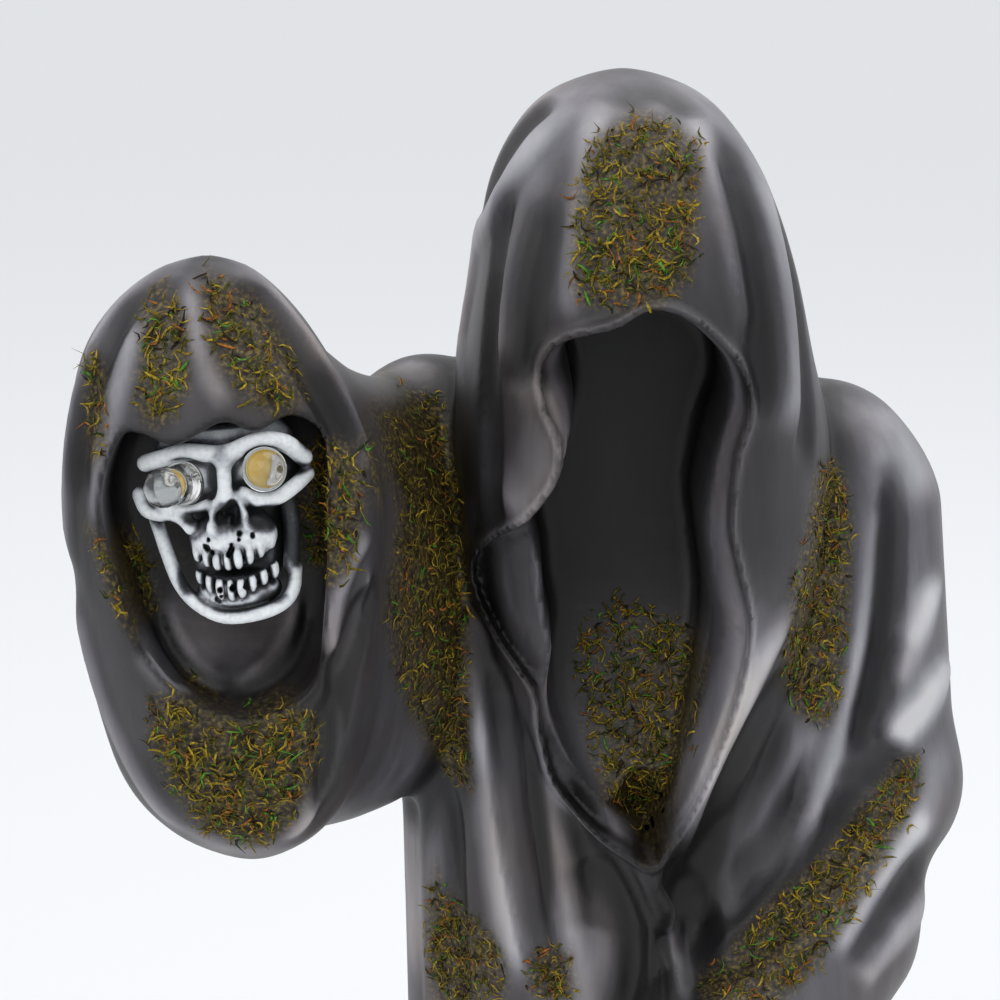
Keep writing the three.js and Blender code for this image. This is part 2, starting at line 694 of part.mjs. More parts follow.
for (const [name, { at, points }] of [["led_eye_left", LED_LEFT], ["led_eye_right", LED_RIGHT]]) {
  const led = piece(name, new THREE.LatheGeometry(ledProfile(), 16), 0xe8e6d8, 0.1);
  led.position.set(...at).applyMatrix4(skullFrame);
  led.quaternion.setFromUnitVectors(new THREE.Vector3(0, 1, 0), new THREE.Vector3(...points).normalize());
  reaper.add(led);
}

export default reaper;
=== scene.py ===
"""Looks of the hooded reaper figurine: painted casting, skull, clear diode eyes and moss."""
import math

import bpy
import numpy as np
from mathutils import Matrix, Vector
from mathutils.bvhtree import BVHTree


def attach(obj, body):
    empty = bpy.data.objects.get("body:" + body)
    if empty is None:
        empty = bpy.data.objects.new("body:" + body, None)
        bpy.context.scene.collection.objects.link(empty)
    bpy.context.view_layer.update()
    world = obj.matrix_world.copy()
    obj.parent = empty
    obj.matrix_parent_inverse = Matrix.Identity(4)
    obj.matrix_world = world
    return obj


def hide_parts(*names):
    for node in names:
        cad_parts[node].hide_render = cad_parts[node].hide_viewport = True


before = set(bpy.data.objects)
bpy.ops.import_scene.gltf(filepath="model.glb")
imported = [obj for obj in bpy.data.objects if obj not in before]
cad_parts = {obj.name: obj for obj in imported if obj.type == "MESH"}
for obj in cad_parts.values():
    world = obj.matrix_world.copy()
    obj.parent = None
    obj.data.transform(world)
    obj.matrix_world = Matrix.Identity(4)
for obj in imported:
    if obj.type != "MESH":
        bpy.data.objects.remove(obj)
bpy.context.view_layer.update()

# Sizes are in millimetres up to the meshes. +X is the viewer's right, the front faces -Y.
MM = 0.001
FAR = 1e3
rng = np.random.default_rng(7)

# Body, by height: half width, half depth, middle y
ROBE = [
    (-20, 50, 40, 0),
    (0, 48.5, 39, 0),
    (30, 42.5, 34, 0),
    (80, 38, 30, 0),
    (140, 35.5, 26.5, 0),
    (195, 36, 25, 0),
    (235, 37, 23.5, 0),
    (256, 32, 20, 1),
    (270, 20, 14, 1),
    (282, 8, 8, 0),
]
ROBE_TOP = 285
ROBE_FOLDS = 15
BASE_HALF_WIDTH = 54
BASE_HALF_DEPTH = 45
BASE_HEIGHT = 7
BASE_ROUND = 4

# Hood, by height: half width, front y, back y, middle x
HOOD = [
    (190, 2, -29, 8, 2),
    (203, 10.5, -32.5, 16, 2),
    (215, 18, -35, 20, 1.5),
    (230, 23.5, -37, 22, 1),
    (246, 26.8, -38, 23, 0.6),
    (262, 28.2, -38, 24, 0.2),
    (276, 25.8, -37, 24, -0.4),
    (289, 23.2, -34.5, 22.5, -0.8),
    (300, 20.2, -28.5, 19, -1.8),
    (308, 15.5, -22, 13, -2.6),
    (313.5, 9.6, -15, 6, -3),
    (316.6, 2, -7, -3, -3.2),
]
HOOD_SQUARENESS = 2.5
HOOD_CAP = ((-2.6, -5.5, 292), (19.5, 23, 24))
HOOD_TOP = 315
HOOD_BACK_FOLDS = 7

# Hem of the hood's opening, anticlockwise from its top, seen from the front: x, z and the
# width of the cloth's inner face that shows beside it
HOOD_HEM = [
    (0, 285.5, 0.3),
    (-5, 283, 0.5),
    (-12, 281, 1),
    (-15, 277.5, 3.5),
    (-14.5, 272, 4),
    (-12.3, 267, 1.5),
    (-13, 261.5, 0.4),
    (-17, 255.5, 0.6),
    (-22, 251, 6),
    (-24.5, 246.5, 9.5),
    (-24, 240.5, 9.5),
    (-20.5, 235, 7),
    (-15.7, 229, 1.6),
    (-14.8, 222, 1.4),
    (-12.5, 213, 3.6),
    (-7.5, 207.5, 5),
    (-2, 204.5, 3),
    (1.5, 203, 0.5),
    (3.5, 206.5, 0.6),
    (8, 215.5, 2.8),
    (12.5, 229, 4.2),
    (14.3, 239, 4.8),
    (12.6, 248, 4),
    (11, 255, 3),
    (11.6, 264.5, 2),
    (13.6, 271.5, 2),
    (12, 277.5, 1.4),
    (6, 283.5, 0.7),
]
HEM_HEIGHT = 0.9
HEM_WIDTH = 1.3
LAPEL_STEP = 0.9
LAPEL_DEPTH = 6.5
LAPEL_MIDDLE = 0
# Below this height the lapel on the viewer's left is turned out, nearly flush: top, full, depth
TURNED_OUT = (258, 250, 1.8)
HOLLOW_TOP = 287
# Back of the hood's hollow, by height: y
HOLLOW_BACK = [
    (198, -31.5),
    (207, -27.5),
    (215, -22),
    (226, -15),
    (238, -9),
    (250, -5.5),
    (280, -3),
]

# Raised sleeve, by y: middle x, half width, lowest z, highest z
SLEEVE = [
    (-52, -58.2, 18, 212.5, 291),
    (-44, -57, 20, 210.5, 290),
    (-34, -53.5, 20, 208, 284),
    (-22, -47, 19, 205, 276),
    (-8, -40, 17, 204, 271),
    (8, -33, 14, 210, 270),
    (20, -28, 9, 225, 260),
]
SLEEVE_ENDS = (-52, 16)
SLEEVE_SIDE_FOLDS = 5
# Mouth of the sleeve, by height: half width, front y, back y, middle x
MOUTH = [
    (210.5, 2, -50, -46, -54.8),
    (214.5, 9.5, -56, -38, -55.5),
    (220.5, 14.6, -59.5, -36, -56.3),
    (229.2, 17, -61.5, -36, -57),
    (245.5, 19.6, -63, -36, -57.6),
    (261.8, 21, -63, -36, -57.7),
    (275.4, 18.6, -61, -36, -59.2),
    (282.9, 15.4, -58, -37, -60.4),
    (288.4, 11.4, -54.5, -38, -60.6),
    (292.6, 6.6, -51, -42, -60),
    (295, 1.5, -48, -46, -59.4),
]
MOUTH_MIDDLE = 252.7
# Edge of the hollow that holds the skull, seen from the front: x, z
MOUTH_HEM = [
    (-70, 272.5),
    (-67, 273.2),
    (-62.5, 272),
    (-56.5, 275),
    (-52.5, 273.5),
    (-48, 275.3),
    (-44, 272),
    (-43.5, 262),
    (-44.2, 248),
    (-46, 239),
    (-53, 235.5),
    (-61, 237.5),
    (-67, 243),
    (-71, 253),
    (-72.8, 264),
]
# Back of that hollow, by height: y
MOUTH_BACK = [
    (224, -66),
    (231, -60.5),
    (238, -54),
    (245, -48.6),
    (252, -47.5),
    (300, -47.5),
]
MOUTH_TOP = 277

# Arms and shoulders: from, to, radius there, radius here
SHOULDERS = ((-30, 3, 255), (29, 3, 252.5), 16.5, 15.8)
UPPER_ARM = ((34, 3, 247.5), (37.3, 0, 206), 14.4, 14.6)
FOREARM = ((37.2, -2, 203), (9, -31, 168), 14.8, 13)
FOREARM_DROP = ((31.5, -12, 182), (7, -30, 150), 13.2, 11)

# Folds of the cloth, seen from the front: x and z of each end, bow to the left of that way,
# half width, height over the cloth (under it, below zero)
FOLDS = [
    # hood
    (-6.5, 313.5, -11.5, 281, -1, 2.4, 0.8),
    (-5.5, 311.5, 7, 309.5, 3.5, 3, -1),
    (6, 312, 14.5, 279, 1.5, 3, 1),
    (9.5, 309.5, 16, 269, 2, 3.4, -1.9),
    (15, 306, 19.5, 264.5, 2, 3.2, 1),
    (18, 301, 22, 259.5, 2.5, 2.6, -1),
    (-10.5, 313, -26.5, 266, -6, 3, 1.2),
    (-12.5, 313, -23.5, 294.5, -2.5, 3.5, -1.8),
    (-19.5, 302.5, -21.5, 251, -2, 2.4, -2.2),
    (-14.5, 306, -20.5, 274, -1.5, 2.6, 0.7),
    (-13.5, 300.5, -18, 273, -1, 3, -0.8),
    (-16, 277.5, -20.5, 254, 3, 5, 1.2),
    # front of the robe, its right side
    (-25.5, 259, -24, 210.5, -0.5, 2.6, 1),
    (-21, 231, -13.5, 178, -1.5, 2.4, -2.8),
    (-23, 226.5, -16.5, 176.5, -1.5, 3.6, 1.1),
    (-28, 209.5, -25.5, 150, -0.5, 2, -1.6),
    (-15, 222, -6, 160, 1, 2.4, 0.8),
    (-7.5, 201, -6, 187, 1.5, 5, -0.9),
    # where the robe crosses below the opening
    (-0.5, 204.5, 5, 178, 2.5, 2.2, 1.5),
    (3, 203, 9, 181, 2, 3.4, -2.6),
    # its left side, down to the bent arm
    (23, 244.5, 4.5, 202.5, -2, 2.6, 1.1),
    (22.5, 231.5, 8, 189, -3.5, 4.2, -1.8),
    (28, 220.5, 9, 187.5, -3.5, 4.2, 1.3),
    (36, 262, 21, 195, 6, 2.4, 1.2),
    (37, 259.5, 34, 212, 2, 3, -2.6),
    (34, 212, 9, 185, 5, 3, -2.6),
    # bent arm
    (47, 241, 38, 223, 1, 3, 0.9),
    (49.5, 226.5, 37, 214.5, 2, 3.2, 1.2),
    (42.5, 214, 30, 202, -1, 3, -1.6),
    (46.5, 204.5, 29, 185, -1.5, 3.4, 1),
    (46, 196.5, 32, 183, -2.5, 3, -1.1),
    (46, 189.5, 32.5, 181, -1.5, 3, 1),
    # raised sleeve
    (-61, 293.5, -55.5, 276, -1.5, 1.8, 0.6),
    (-66.5, 289.5, -73.5, 259, -1, 2, 0.8),
    (-65.5, 292.5, -76, 263, -3.5, 2.2, -1.2),
    (-70, 290, -77.5, 252, -3.5, 2.4, 0.9),
    (-77.5, 252, -63.5, 216, -3, 2.4, 0.9),
    (-55.5, 292.5, -39.5, 268, 1.5, 2.4, -1.8),
    (-54.5, 293, -38, 265.5, 2.5, 2.4, 1),
    (-38, 260.5, -43.5, 242, -2, 2, 1.2),
    (-43.5, 242, -50.5, 215.5, 2.5, 2, 1.2),
    (-37, 252.5, -45, 219, -2, 2.8, -2.2),
]
# Finer folds of the sleeve's mouth, in the same way but laid on the hollowed figure
INNER_FOLDS = [
    # under the chin
    (-66.6, 248.5, -57.3, 237.9, -2.2, 1.2, 0.9),
    (-57.3, 237.9, -48.7, 250, -3, 1.2, 0.9),
    (-68.2, 246.4, -56.9, 236.6, -2, 0.9, -0.9),
    (-56.9, 236.6, -47.1, 247.7, -3.7, 0.9, -0.9),
    (-68.1, 245, -61.4, 237.8, -0.8, 1.7, 0.6),
    # its lip
    (-38.1, 255.1, -43.8, 238.3, 0.5, 0.9, 0.7),
    (-43.8, 238.3, -50.4, 215.7, 3.6, 0.9, 0.7),
]

# Lights and darks laid in the same way, partly the figure's airbrushed paint and partly painted highlight and painted
# shade: ends, bow, half width, change of tone
SHADING = [
    # front of the robe
    (-18, 225.7, -13.9, 184.6, 1.1, 1.5, -0.35),
    (-20.7, 217.4, -17.1, 176.2, -0.4, 2, 0.15),
    (-24.4, 207.5, -24.1, 174.9, -0.2, 2.6, -0.12),
    (-28, 207, -26.5, 188.9, -0.1, 1, -0.3),
    (-35.1, 203.5, -34, 168.9, -0.2, 4, 0.3),
    (-5.8, 196.1, -2.7, 179, 0.4, 4, 0.12),
    (17.6, 248.7, 5.4, 205.1, 2.3, 4.6, 0.32),
    (22.6, 223.8, 7.9, 194.4, 2.8, 4.8, -0.35),
    # shoulders and bent arm
    (-38, 272, -30.3, 271.8, -0.7, 5, 0.35),
    (33.1, 267.5, 44.8, 248.2, 2.6, 7, 0.3),
    (35.5, 262.7, 31.4, 216, 1.5, 1.7, 0.25),
    (31.4, 216, 21.3, 195.4, 2.4, 1.6, 0.15),
    (37.4, 261.3, 32.7, 207.2, 2, 1.6, -0.3),
    (32.2, 207.3, 9.1, 184, 0.2, 2.2, -0.4),
    (45.8, 240.2, 39.9, 229.3, 0.4, 3, 0.2),
    (48.1, 227.4, 37.8, 214.6, 0.5, 3, 0.2),
    (48.7, 216.1, 43.1, 198.3, 0.2, 4, 0.2),
    (46.5, 204.2, 29.2, 184.9, -1, 2.2, 0.15),
    # hood
    (11.8, 295.5, 16, 268.4, 1, 2.2, -0.3),
    (-16.8, 304.6, -21, 280.1, -0.5, 4, -0.12),
    (-21, 290.2, -23.9, 266.6, -0.6, 1.8, -0.3),
    (-18.2, 275, -20.3, 258, 2, 4, -0.15),
    # raised sleeve
    (-75.8, 276.7, -75.5, 247.2, -0.7, 2.4, -0.15),
    (-45, 283, -40.5, 268, 0.5, 4, -0.25),
    (-67.3, 234.7, -46.5, 228.3, -6, 8, -0.2),
    (-65.7, 242.8, -46.9, 245.1, -6.7, 8, -0.35),
]

# Patches of moss, outlined from the front
MOSS = {
    "hood": [
        (-8.4, 306.4), (-5.3, 309.6), (-1.2, 311.2), (2.7, 310.2), (7.1, 306.2), (6.4, 299.7), (5.2, 290.7),
        (1.6, 286.9), (-3.2, 285.8), (-7.2, 286), (-10.7, 287.3), (-11.1, 294.6), (-10.4, 301.1),
    ],
    "shoulder": [
        (-39.1, 270.7), (-35.9, 269.3), (-30.1, 267.8), (-28.8, 263.6), (-27.2, 257.1), (-26.2, 245.8),
        (-25.8, 233.3), (-25.8, 220.5), (-25.6, 209.5), (-29, 210.6), (-32.2, 219.2), (-34.7, 228.6),
        (-36.1, 238.5), (-36.5, 246.3), (-35.7, 253.6), (-35.4, 258.2), (-37.9, 265.6), (-38.6, 271),
    ],
    "robe_low": [(-31.7, 190.4), (-28.8, 189.4), (-24.9, 187.3), (-21, 184.3), (-21, 175.7), (-31.9, 171.3)],
    "robe_middle": [(-16.4, 183), (-10.6, 184.7), (-9.9, 177.5), (-16.1, 177)],
    "chest": [
        (-8, 233.5), (-5, 236.4), (1.1, 236.8), (8.1, 232), (9.1, 232.5), (7.1, 219.8), (2.3, 204.4),
        (-1.2, 205.7), (-5.7, 211.4), (-9.1, 222.7), (-9.5, 228),
    ],
    "front_edge": [
        (24.8, 260.7), (27, 260.9), (30.5, 256.1), (31.8, 246.9), (31.9, 234.2), (30.7, 221.9),
        (28.7, 217.7), (24.5, 220.8), (21.2, 228.3), (20.7, 241.2), (23, 252.5),
    ],
    "forearm": [
        (42.6, 213.2), (44.1, 207.4), (38.6, 199.9), (35, 195.2), (29.3, 189.1), (22.1, 182.5),
        (9.5, 182.3), (12.8, 186.3), (19.4, 193.6), (29.4, 199.9), (35.6, 206.4),
    ],
    "brow_left": [
        (-66.7, 290.9), (-63.5, 290.6), (-60.8, 286.3), (-61.1, 279.1), (-63.8, 274.8), (-66.8, 275.3),
        (-67.7, 281.4),
    ],
    "brow_right": [
        (-59.7, 292.7), (-55.1, 291.1), (-50.8, 286.8), (-47.5, 280), (-47, 276.1), (-50.5, 276.2),
        (-54.8, 279.6), (-58.2, 284.5),
    ],
    "temple": [(-74.6, 282.8), (-72.5, 280.7), (-71.5, 275.1), (-72.6, 270.1), (-74.5, 270.3)],
    "jaw_left": [
        (-75.2, 260.6), (-72.1, 258.3), (-68.5, 253.2), (-68, 247.8), (-68.5, 245.9), (-71.3, 249.8),
        (-73.3, 254.9),
    ],
    "face_right": [
        (-47.3, 268.2), (-43.1, 271.6), (-39.6, 268.7), (-39.1, 262.3), (-40.3, 255.2), (-43.2, 252.9),
        (-46.5, 253.2), (-47.7, 261.6),
    ],
    "mouth_bottom": [
        (-66.9, 237.4), (-63.1, 238.9), (-56.2, 235.2), (-49.1, 237), (-45.5, 233.6), (-46.8, 224.2),
        (-50.8, 217.3), (-56.3, 215.8), (-62.4, 220.7), (-66.6, 228.8),
    ],
}
# Flakes: how many for each square millimetre, and their sizes
MOSS_DENSITY = 1.7
FLAKE_LENGTH = (0.7, 2.8)
FLAKE_WIDTH = (0.22, 0.5)
MOSS_COLOURS = [
    ("b59b2f", 0.3), ("8a7a26", 0.2), ("6f6a25", 0.18), ("3c4a1c", 0.09), ("5f9a35", 0.07), ("b0702f", 0.08),
    ("3a2c18", 0.08),
]

# Skull, in its own frame: u across, v towards the viewer, w up, from between its eyes
SKULL_AT = (-56.2, -58.6, 268)
SKULL_ROLL = math.radians(5)
SKULL_TOP = 5.2
SKULL_BACK = -9.4
# Masses of the skull, without its teeth: middle, radii, and how softly each joins
BONE_MASSES = [
    ((-0.8, -7.2, -0.4), (10, 6.1, 8.2), 0.1),
    ((-0.4, -1.6, -8.8), (5.7, 3.8, 3.9), 1.4),
    ((-0.6, -2.3, -16.4), (5.6, 3.7, 2.7), 1.2),
    ((-0.5, -6.8, -10.5), (6.8, 4, 8), 1.4),
]
# Ridges of bone: radius, how softly it joins, points
BONE_RIDGES = [
    # brows
    (1.15, 1, [(-11.2, -4.2, 1.3), (-8.5, -2.2, 2.2), (-5.5, -0.9, 3), (-2.2, -0.6, 2.6), (-0.2, -0.8, 2.1)]),
    (1.2, 1, [(-0.2, -0.8, 2.1), (2, -0.2, 3.1), (4.9, 0, 3.9), (7.7, -1.2, 3), (9.6, -3.4, 0.5)]),
    # nose
    (0.95, 0.9, [(-0.5, -0.5, 1.8), (-0.5, 0.5, -0.7), (-0.5, 1.3, -3)]),
    (0.8, 0.6, [(-0.6, 1, -2.6), (-1.9, 1.2, -4.2), (-2.7, 1.4, -7)]),
    (0.75, 0.6, [(-0.4, 1, -2.6), (1, 1.2, -4), (1.9, 1.3, -6.8)]),
    # cheekbones and the lower rims of the sockets
    (1.15, 0.8, [(-12.5, -5, -3.1), (-11.6, -3.6, -4.7), (-9.9, -2.4, -5.1), (-8, -1.2, -5), (-5.6, 0.2, -6.6)]),
    (0.75, 0.7, [(-10, -2, -3), (-8, -0.8, -4.2), (-5.6, 0, -4.4), (-3, 0.5, -3.9)]),
    (1, 0.8, [(1.6, 0.3, -2.9), (3.6, 0.5, -3.8), (6, 0, -3.8), (8.2, -1.4, -2.8), (9.8, -3.6, -1.8)]),
    # side of the jaw on the viewer's right
    (1.1, 1, [(6.9, -3.9, -4.6), (7, -3.7, -9), (6.4, -3.4, -14)]),
    # rim of the lower jaw
    (0.95, 0.6, [
        (-11, -5.5, -6.6), (-9.8, -4.2, -11.3), (-8.3, -2.2, -15), (-5.9, -0.4, -17.5), (-2.5, 0.6, -19.1),
        (1.7, 0.8, -19), (4.9, 0, -18.2), (6.5, -1.4, -16.7), (6.9, -3.4, -14.3),
    ]),
]
# Hollows of the skull: middle, radii
BONE_HOLLOWS = [
    ((-1.25, 1.8, -5.5), (0.85, 3, 0.95)),
    ((0.25, 1.8, -5), (0.95, 3, 1.8)),
    ((-4.6, 1.6, -5.4), (1.7, 1.5, 0.8)),
    ((-8.1, 0, -8), (1.8, 3.8, 2)),
    ((4.4, 2.2, -6.1), (2.5, 2.6, 1.7)),
    ((-2.1, 0.9, -0.9), (0.4, 1.5, 1.9)),
    ((-7.3, 0.4, -13.2), (1.2, 2.6, 2.4)),
    ((4.2, 1.8, -16.8), (1.7, 1.2, 0.8)),
]
SEPTUM = ((-0.4, 0.5, -6), (0.28, 1.4, 0.6))
MOUTH_GAP = [(-6, -12), (-4.6, -12.6), (-1, -13.2), (2.2, -12.9), (5, -11.8), (6.2, -10.8)]
MOUTH_GAP_RADIUS = 0.4
MOUTH_GAP_BACK = -1.8
# Rows of teeth: middle of the row across, tip there, rise of the tips to the sides, which way they point
TEETH = [(-1.4, -12.4, 0.055, 1), (-0.6, -13.7, 0.06, -1)]
TEETH_PER_ROW = 8
TEETH_HALF_WIDTH = 5.5
TOOTH = (0.7, 0.85, 1.45)
PITS = 34
# Grey and black in the recesses, partly left there by the white paint and partly painted shade: middle, radii, share
# of the white taken
BONE_SHADOWS = [
    ((-0.5, 1, -5.4), (2.2, 3, 2.3), 0.35),
    ((-4.7, 0.6, -5.4), (1.8, 2, 1), 0.6),
    ((-8, -1.5, -8.2), (2.1, 3.6, 2.5), 0.85),
    ((4.6, 0, -6.3), (2.9, 3, 2), 0.7),
    ((7.2, -3.4, -8.8), (1.6, 3, 5.6), 0.7),
    ((-7.3, -1, -13.4), (1.3, 3, 2.7), 0.75),
    ((4.1, 1, -16.9), (2, 1.6, 0.9), 0.6),
    ((-0.6, -0.6, 2.4), (1.1, 1.6, 1.1), 0.4),
    ((-2.2, -0.3, -1), (0.9, 1.6, 2.3), 0.75),
    ((9.4, -4.6, 2.6), (2, 3, 2), 0.5),
]

# Light-emitting diodes: a 5 mm dome on a flange, and the cup and posts inside it
LED_RADIUS = 2.5
LED_FLANGE = 2.9
LED_FLANGE_HEIGHT = 1
LED_LENGTH = 8.6
LEDS = {
    "left": ((-5.7, 0.7, -0.7), (-0.31, -0.94, 0.11), (0.5, 0.25)),
    "right": ((4.8, 0.7, 0.2), (0.13, -0.96, 0.24), (-0.75, 0.1)),
}
SOCKET_RADIUS = 3.2
SOCKET_BACK = -0.7
CUP_RADIUS = 1.35
CUP_HEIGHTS = (2.4, 3.6)
POST_RADIUS = 0.26


# Shapes as distance fields: each takes p, the arrays x, y and z, and gives the distance

def smoothstep(low, high, v):
    t = np.clip((v - low) / (high - low), 0, 1)
    return t * t * (3 - 2 * t)


def join(a, b, k):
    h = np.maximum(k - np.abs(a - b), 0) / k
    return np.minimum(a, b) - h * h * k * 0.25


def meet(a, b, k):
    return -join(-a, -b, k)


def ellipse(u, v, a, b):
    k0 = np.hypot(u / a, v / b) + 1e-6
    k1 = np.hypot(u / (a * a), v / (b * b)) + 1e-9
    return k0 * (k0 - 1) / k1


def ellipsoid(p, at, radii):
    q = [c - o for c, o in zip(p, at)]
    k0 = np.sqrt(sum((c / r) ** 2 for c, r in zip(q, radii))) + 1e-6
    k1 = np.sqrt(sum((c / (r * r)) ** 2 for c, r in zip(q, radii))) + 1e-9
    return k0 * (k0 - 1) / k1


def limb(p, a, b, radius_a, radius_b):
    way = [v - u for u, v in zip(a, b)]
    q = [c - o for c, o in zip(p, a)]
    t = np.clip(sum(c * w for c, w in zip(q, way)) / sum(w * w for w in way), 0, 1)
    away = np.sqrt(sum((c - t * w) ** 2 for c, w in zip(q, way)))
    return away - (radius_a + t * (radius_b - radius_a))


def profile(rows, samples=600):
    """Rows of (h, values...) as a function of h that gives the values, smooth from row to row."""
    t = np.array(rows, float)
    slope = np.empty((len(t), t.shape[1] - 1))
    for i in range(len(t)):
        low, high = t[max(i - 1, 0)], t[min(i + 1, len(t) - 1)]
        slope[i] = (high[1:] - low[1:]) / (high[0] - low[0])
    heights = np.linspace(t[0, 0], t[-1, 0], samples)
    i = np.clip(np.searchsorted(t[:, 0], heights, side="right") - 1, 0, len(t) - 2)
    span = (t[i + 1, 0] - t[i, 0])[:, None]
    s = (heights[:, None] - t[i, 0][:, None]) / span
    values = (
        (2 * s**3 - 3 * s**2 + 1) * t[i, 1:]
        + (s**3 - 2 * s**2 + s) * span * slope[i]
        + (3 * s**2 - 2 * s**3) * t[i + 1, 1:]
        + (s**3 - s**2) * span * slope[i + 1]
    )
    return lambda h: [np.interp(h, heights, column) for column in values.T]


def near_line(q, line):
    """Distance from the points q to a line of points, and how far along it that is, from 0 to 1."""
    best = np.full(q[0].shape, FAR * FAR)
    along = np.zeros(q[0].shape)
    bits = len(line) - 1
    for i in range(bits):
        way = line[i + 1] - line[i]
        rel = [q[k] - line[i][k] for k in range(len(q))]
        t = np.clip(sum(rel[k] * way[k] for k in range(len(q))) / (way @ way + 1e-9), 0, 1)
        away = sum((rel[k] - t * way[k]) ** 2 for k in range(len(q)))
        closer = away < best
        best[closer] = away[closer]
        along[closer] = ((i + t) / bits)[closer]
    return np.sqrt(best), along


def within(q, line, reach):
    """Indices of the points of q inside the line's box, widened by reach."""
    keep = np.ones(q[0].shape, bool)
    for k in range(len(q)):
        keep &= (q[k] > line[:, k].min() - reach) & (q[k] < line[:, k].max() + reach)
    return np.nonzero(keep)[0]


def closed_curve(points, count):
    """A closed smooth line through the points."""
    p = np.array(points, float)
    u = np.arange(count + 1) / count * len(p)
    i = u.astype(int)
    f = (u - i)[:, None]
    a, b, c, d = (p[(i + k) % len(p)] for k in (-1, 0, 1, 2))
    return 0.5 * (2 * b + (c - a) * f + (2 * a - 5 * b + 4 * c - d) * f**2 + (3 * b - a - 3 * c + d) * f**3)


def loop_distance(x, z, loop, reach=14):
    """Signed distance to a closed outline, below zero inside it and FAR out of its reach."""
    out = np.full(x.shape, FAR)
    near = within([x, z], loop, reach)
    q = [x[near], z[near]]
    away, _ = near_line(q, loop)
    inside = np.zeros(len(near), bool)
    for a, b in zip(loop[:-1], loop[1:]):
        spans = (a[1] > q[1]) != (b[1] > q[1])
        inside ^= spans & (q[0] < a[0] + (q[1] - a[1]) * (b[0] - a[0]) / (b[1] - a[1] + 1e-12))
    out[near] = np.where(inside, -away, away)
    return out


robe_at = profile(ROBE)
hood_at = profile(HOOD)
sleeve_at = profile(SLEEVE)
mouth_at = profile(MOUTH)
hollow_back_at = profile(HOLLOW_BACK)
mouth_back_at = profile(MOUTH_BACK)


def robe(p):
    x, y, z = p
    a, b, middle = robe_at(z)
    d = ellipse(x, y - middle, a, b)
    angle = np.arctan2(x / a, -(y - middle) / b)
    low = 1 - smoothstep(40, 230, z)
    for i in range(ROBE_FOLDS):
        turn = 2 * math.pi * (i + 0.35 * math.sin(i * 2.3)) / ROBE_FOLDS + 0.1 * np.sin(z / 60 + i * 1.7)
        away = np.abs((angle - turn + math.pi) % (2 * math.pi) - math.pi)
        depth = (1.2 + 2.4 * low) * (0.75 + 0.25 * math.sin(i * 5.1))
        d = d + depth * (np.exp(-((away / 0.075) ** 2)) - 0.45 * np.exp(-(((away - 0.2) / 0.11) ** 2)))
    return np.maximum(d * 0.95, z - ROBE_TOP)


def base(p):
    side = ellipse(p[0], p[1], BASE_HALF_WIDTH, BASE_HALF_DEPTH)
    return meet(side, p[2] - BASE_HEIGHT, BASE_ROUND)


def hood(p):
    x, y, z = p
    a, front, back, middle = hood_at(z)
    centre, b = (front + back) / 2, (back - front) / 2
    u, v = np.abs(x - middle) / a, np.abs(y - centre) / b
    size = (u**HOOD_SQUARENESS + v**HOOD_SQUARENESS) ** (1 / HOOD_SQUARENESS)
    loft = (size - 1) * np.minimum(a, b) * 0.9
    pleat = np.cos(HOOD_BACK_FOLDS * np.arctan2(x - middle, y - centre + 4))
    behind = smoothstep(-2, 10, y) * smoothstep(212, 250, z) * (1 - smoothstep(296, 312, z))
    cap = ellipsoid(p, *HOOD_CAP)
    return join(meet(loft, z - HOOD_TOP, 5), cap, 4) - 0.8 * pleat * behind


def sleeve(p):
    x, y, z = p
    middle, a, low, high = sleeve_at(y)
    b, centre = (high - low) / 2, (high + low) / 2
    v = z - centre
    tube = ellipse(x - middle, v, a * (1 - 0.14 * v / b), b) * 0.85
    outer = smoothstep(4, 14, middle - x) * smoothstep(-52, -40, y) * (1 - smoothstep(-14, 0, y))
    ripple = np.cos((z - low) / (high - low) * 2 * math.pi * SLEEVE_SIDE_FOLDS + 0.09 * y)
    ends = np.maximum(SLEEVE_ENDS[0] - y, y - SLEEVE_ENDS[1])
    arm = meet(tube - 0.7 * ripple * outer, ends, 4)
    half, front, back, mouth_x = mouth_at(z)
    face = ellipse(x - mouth_x, y - (front + back) / 2, half, (back - front) / 2) * 0.8
    return join(arm, meet(face, np.abs(z - MOUTH_MIDDLE) - 42, 2), 3)


def bent_arm(p):
    arm = join(limb(p, *UPPER_ARM), limb(p, *FOREARM), 5)
    return join(arm, limb(p, *FOREARM_DROP), 9)


def outside(p):
    d = join(robe(p), limb(p, *SHOULDERS), 8)
    d = join(d, bent_arm(p), 3)
    d = join(d, sleeve(p), 4)
    d = join(d, hood(p), 2)
    return join(d, base(p), 3)


def on_front(surface, x, z, start=-75, end=25):
    """Points of a surface straight behind (x, z), seen from the front."""
    x, z = np.array(x, float), np.array(z, float)
    y = np.full(x.shape, float(start))
    best, best_y = np.full(x.shape, FAR), y.copy()
    for _ in range(160):
        d = surface([x, y, z])
        nearer = (np.abs(d) < best) & (best > 0.05)
        best[nearer], best_y[nearer] = np.abs(d)[nearer], y[nearer]
        y = np.minimum(y + np.maximum(0.6 * d, 0.05) * (d > 0.05), end)
    return np.stack([x, best_y, z], 1)


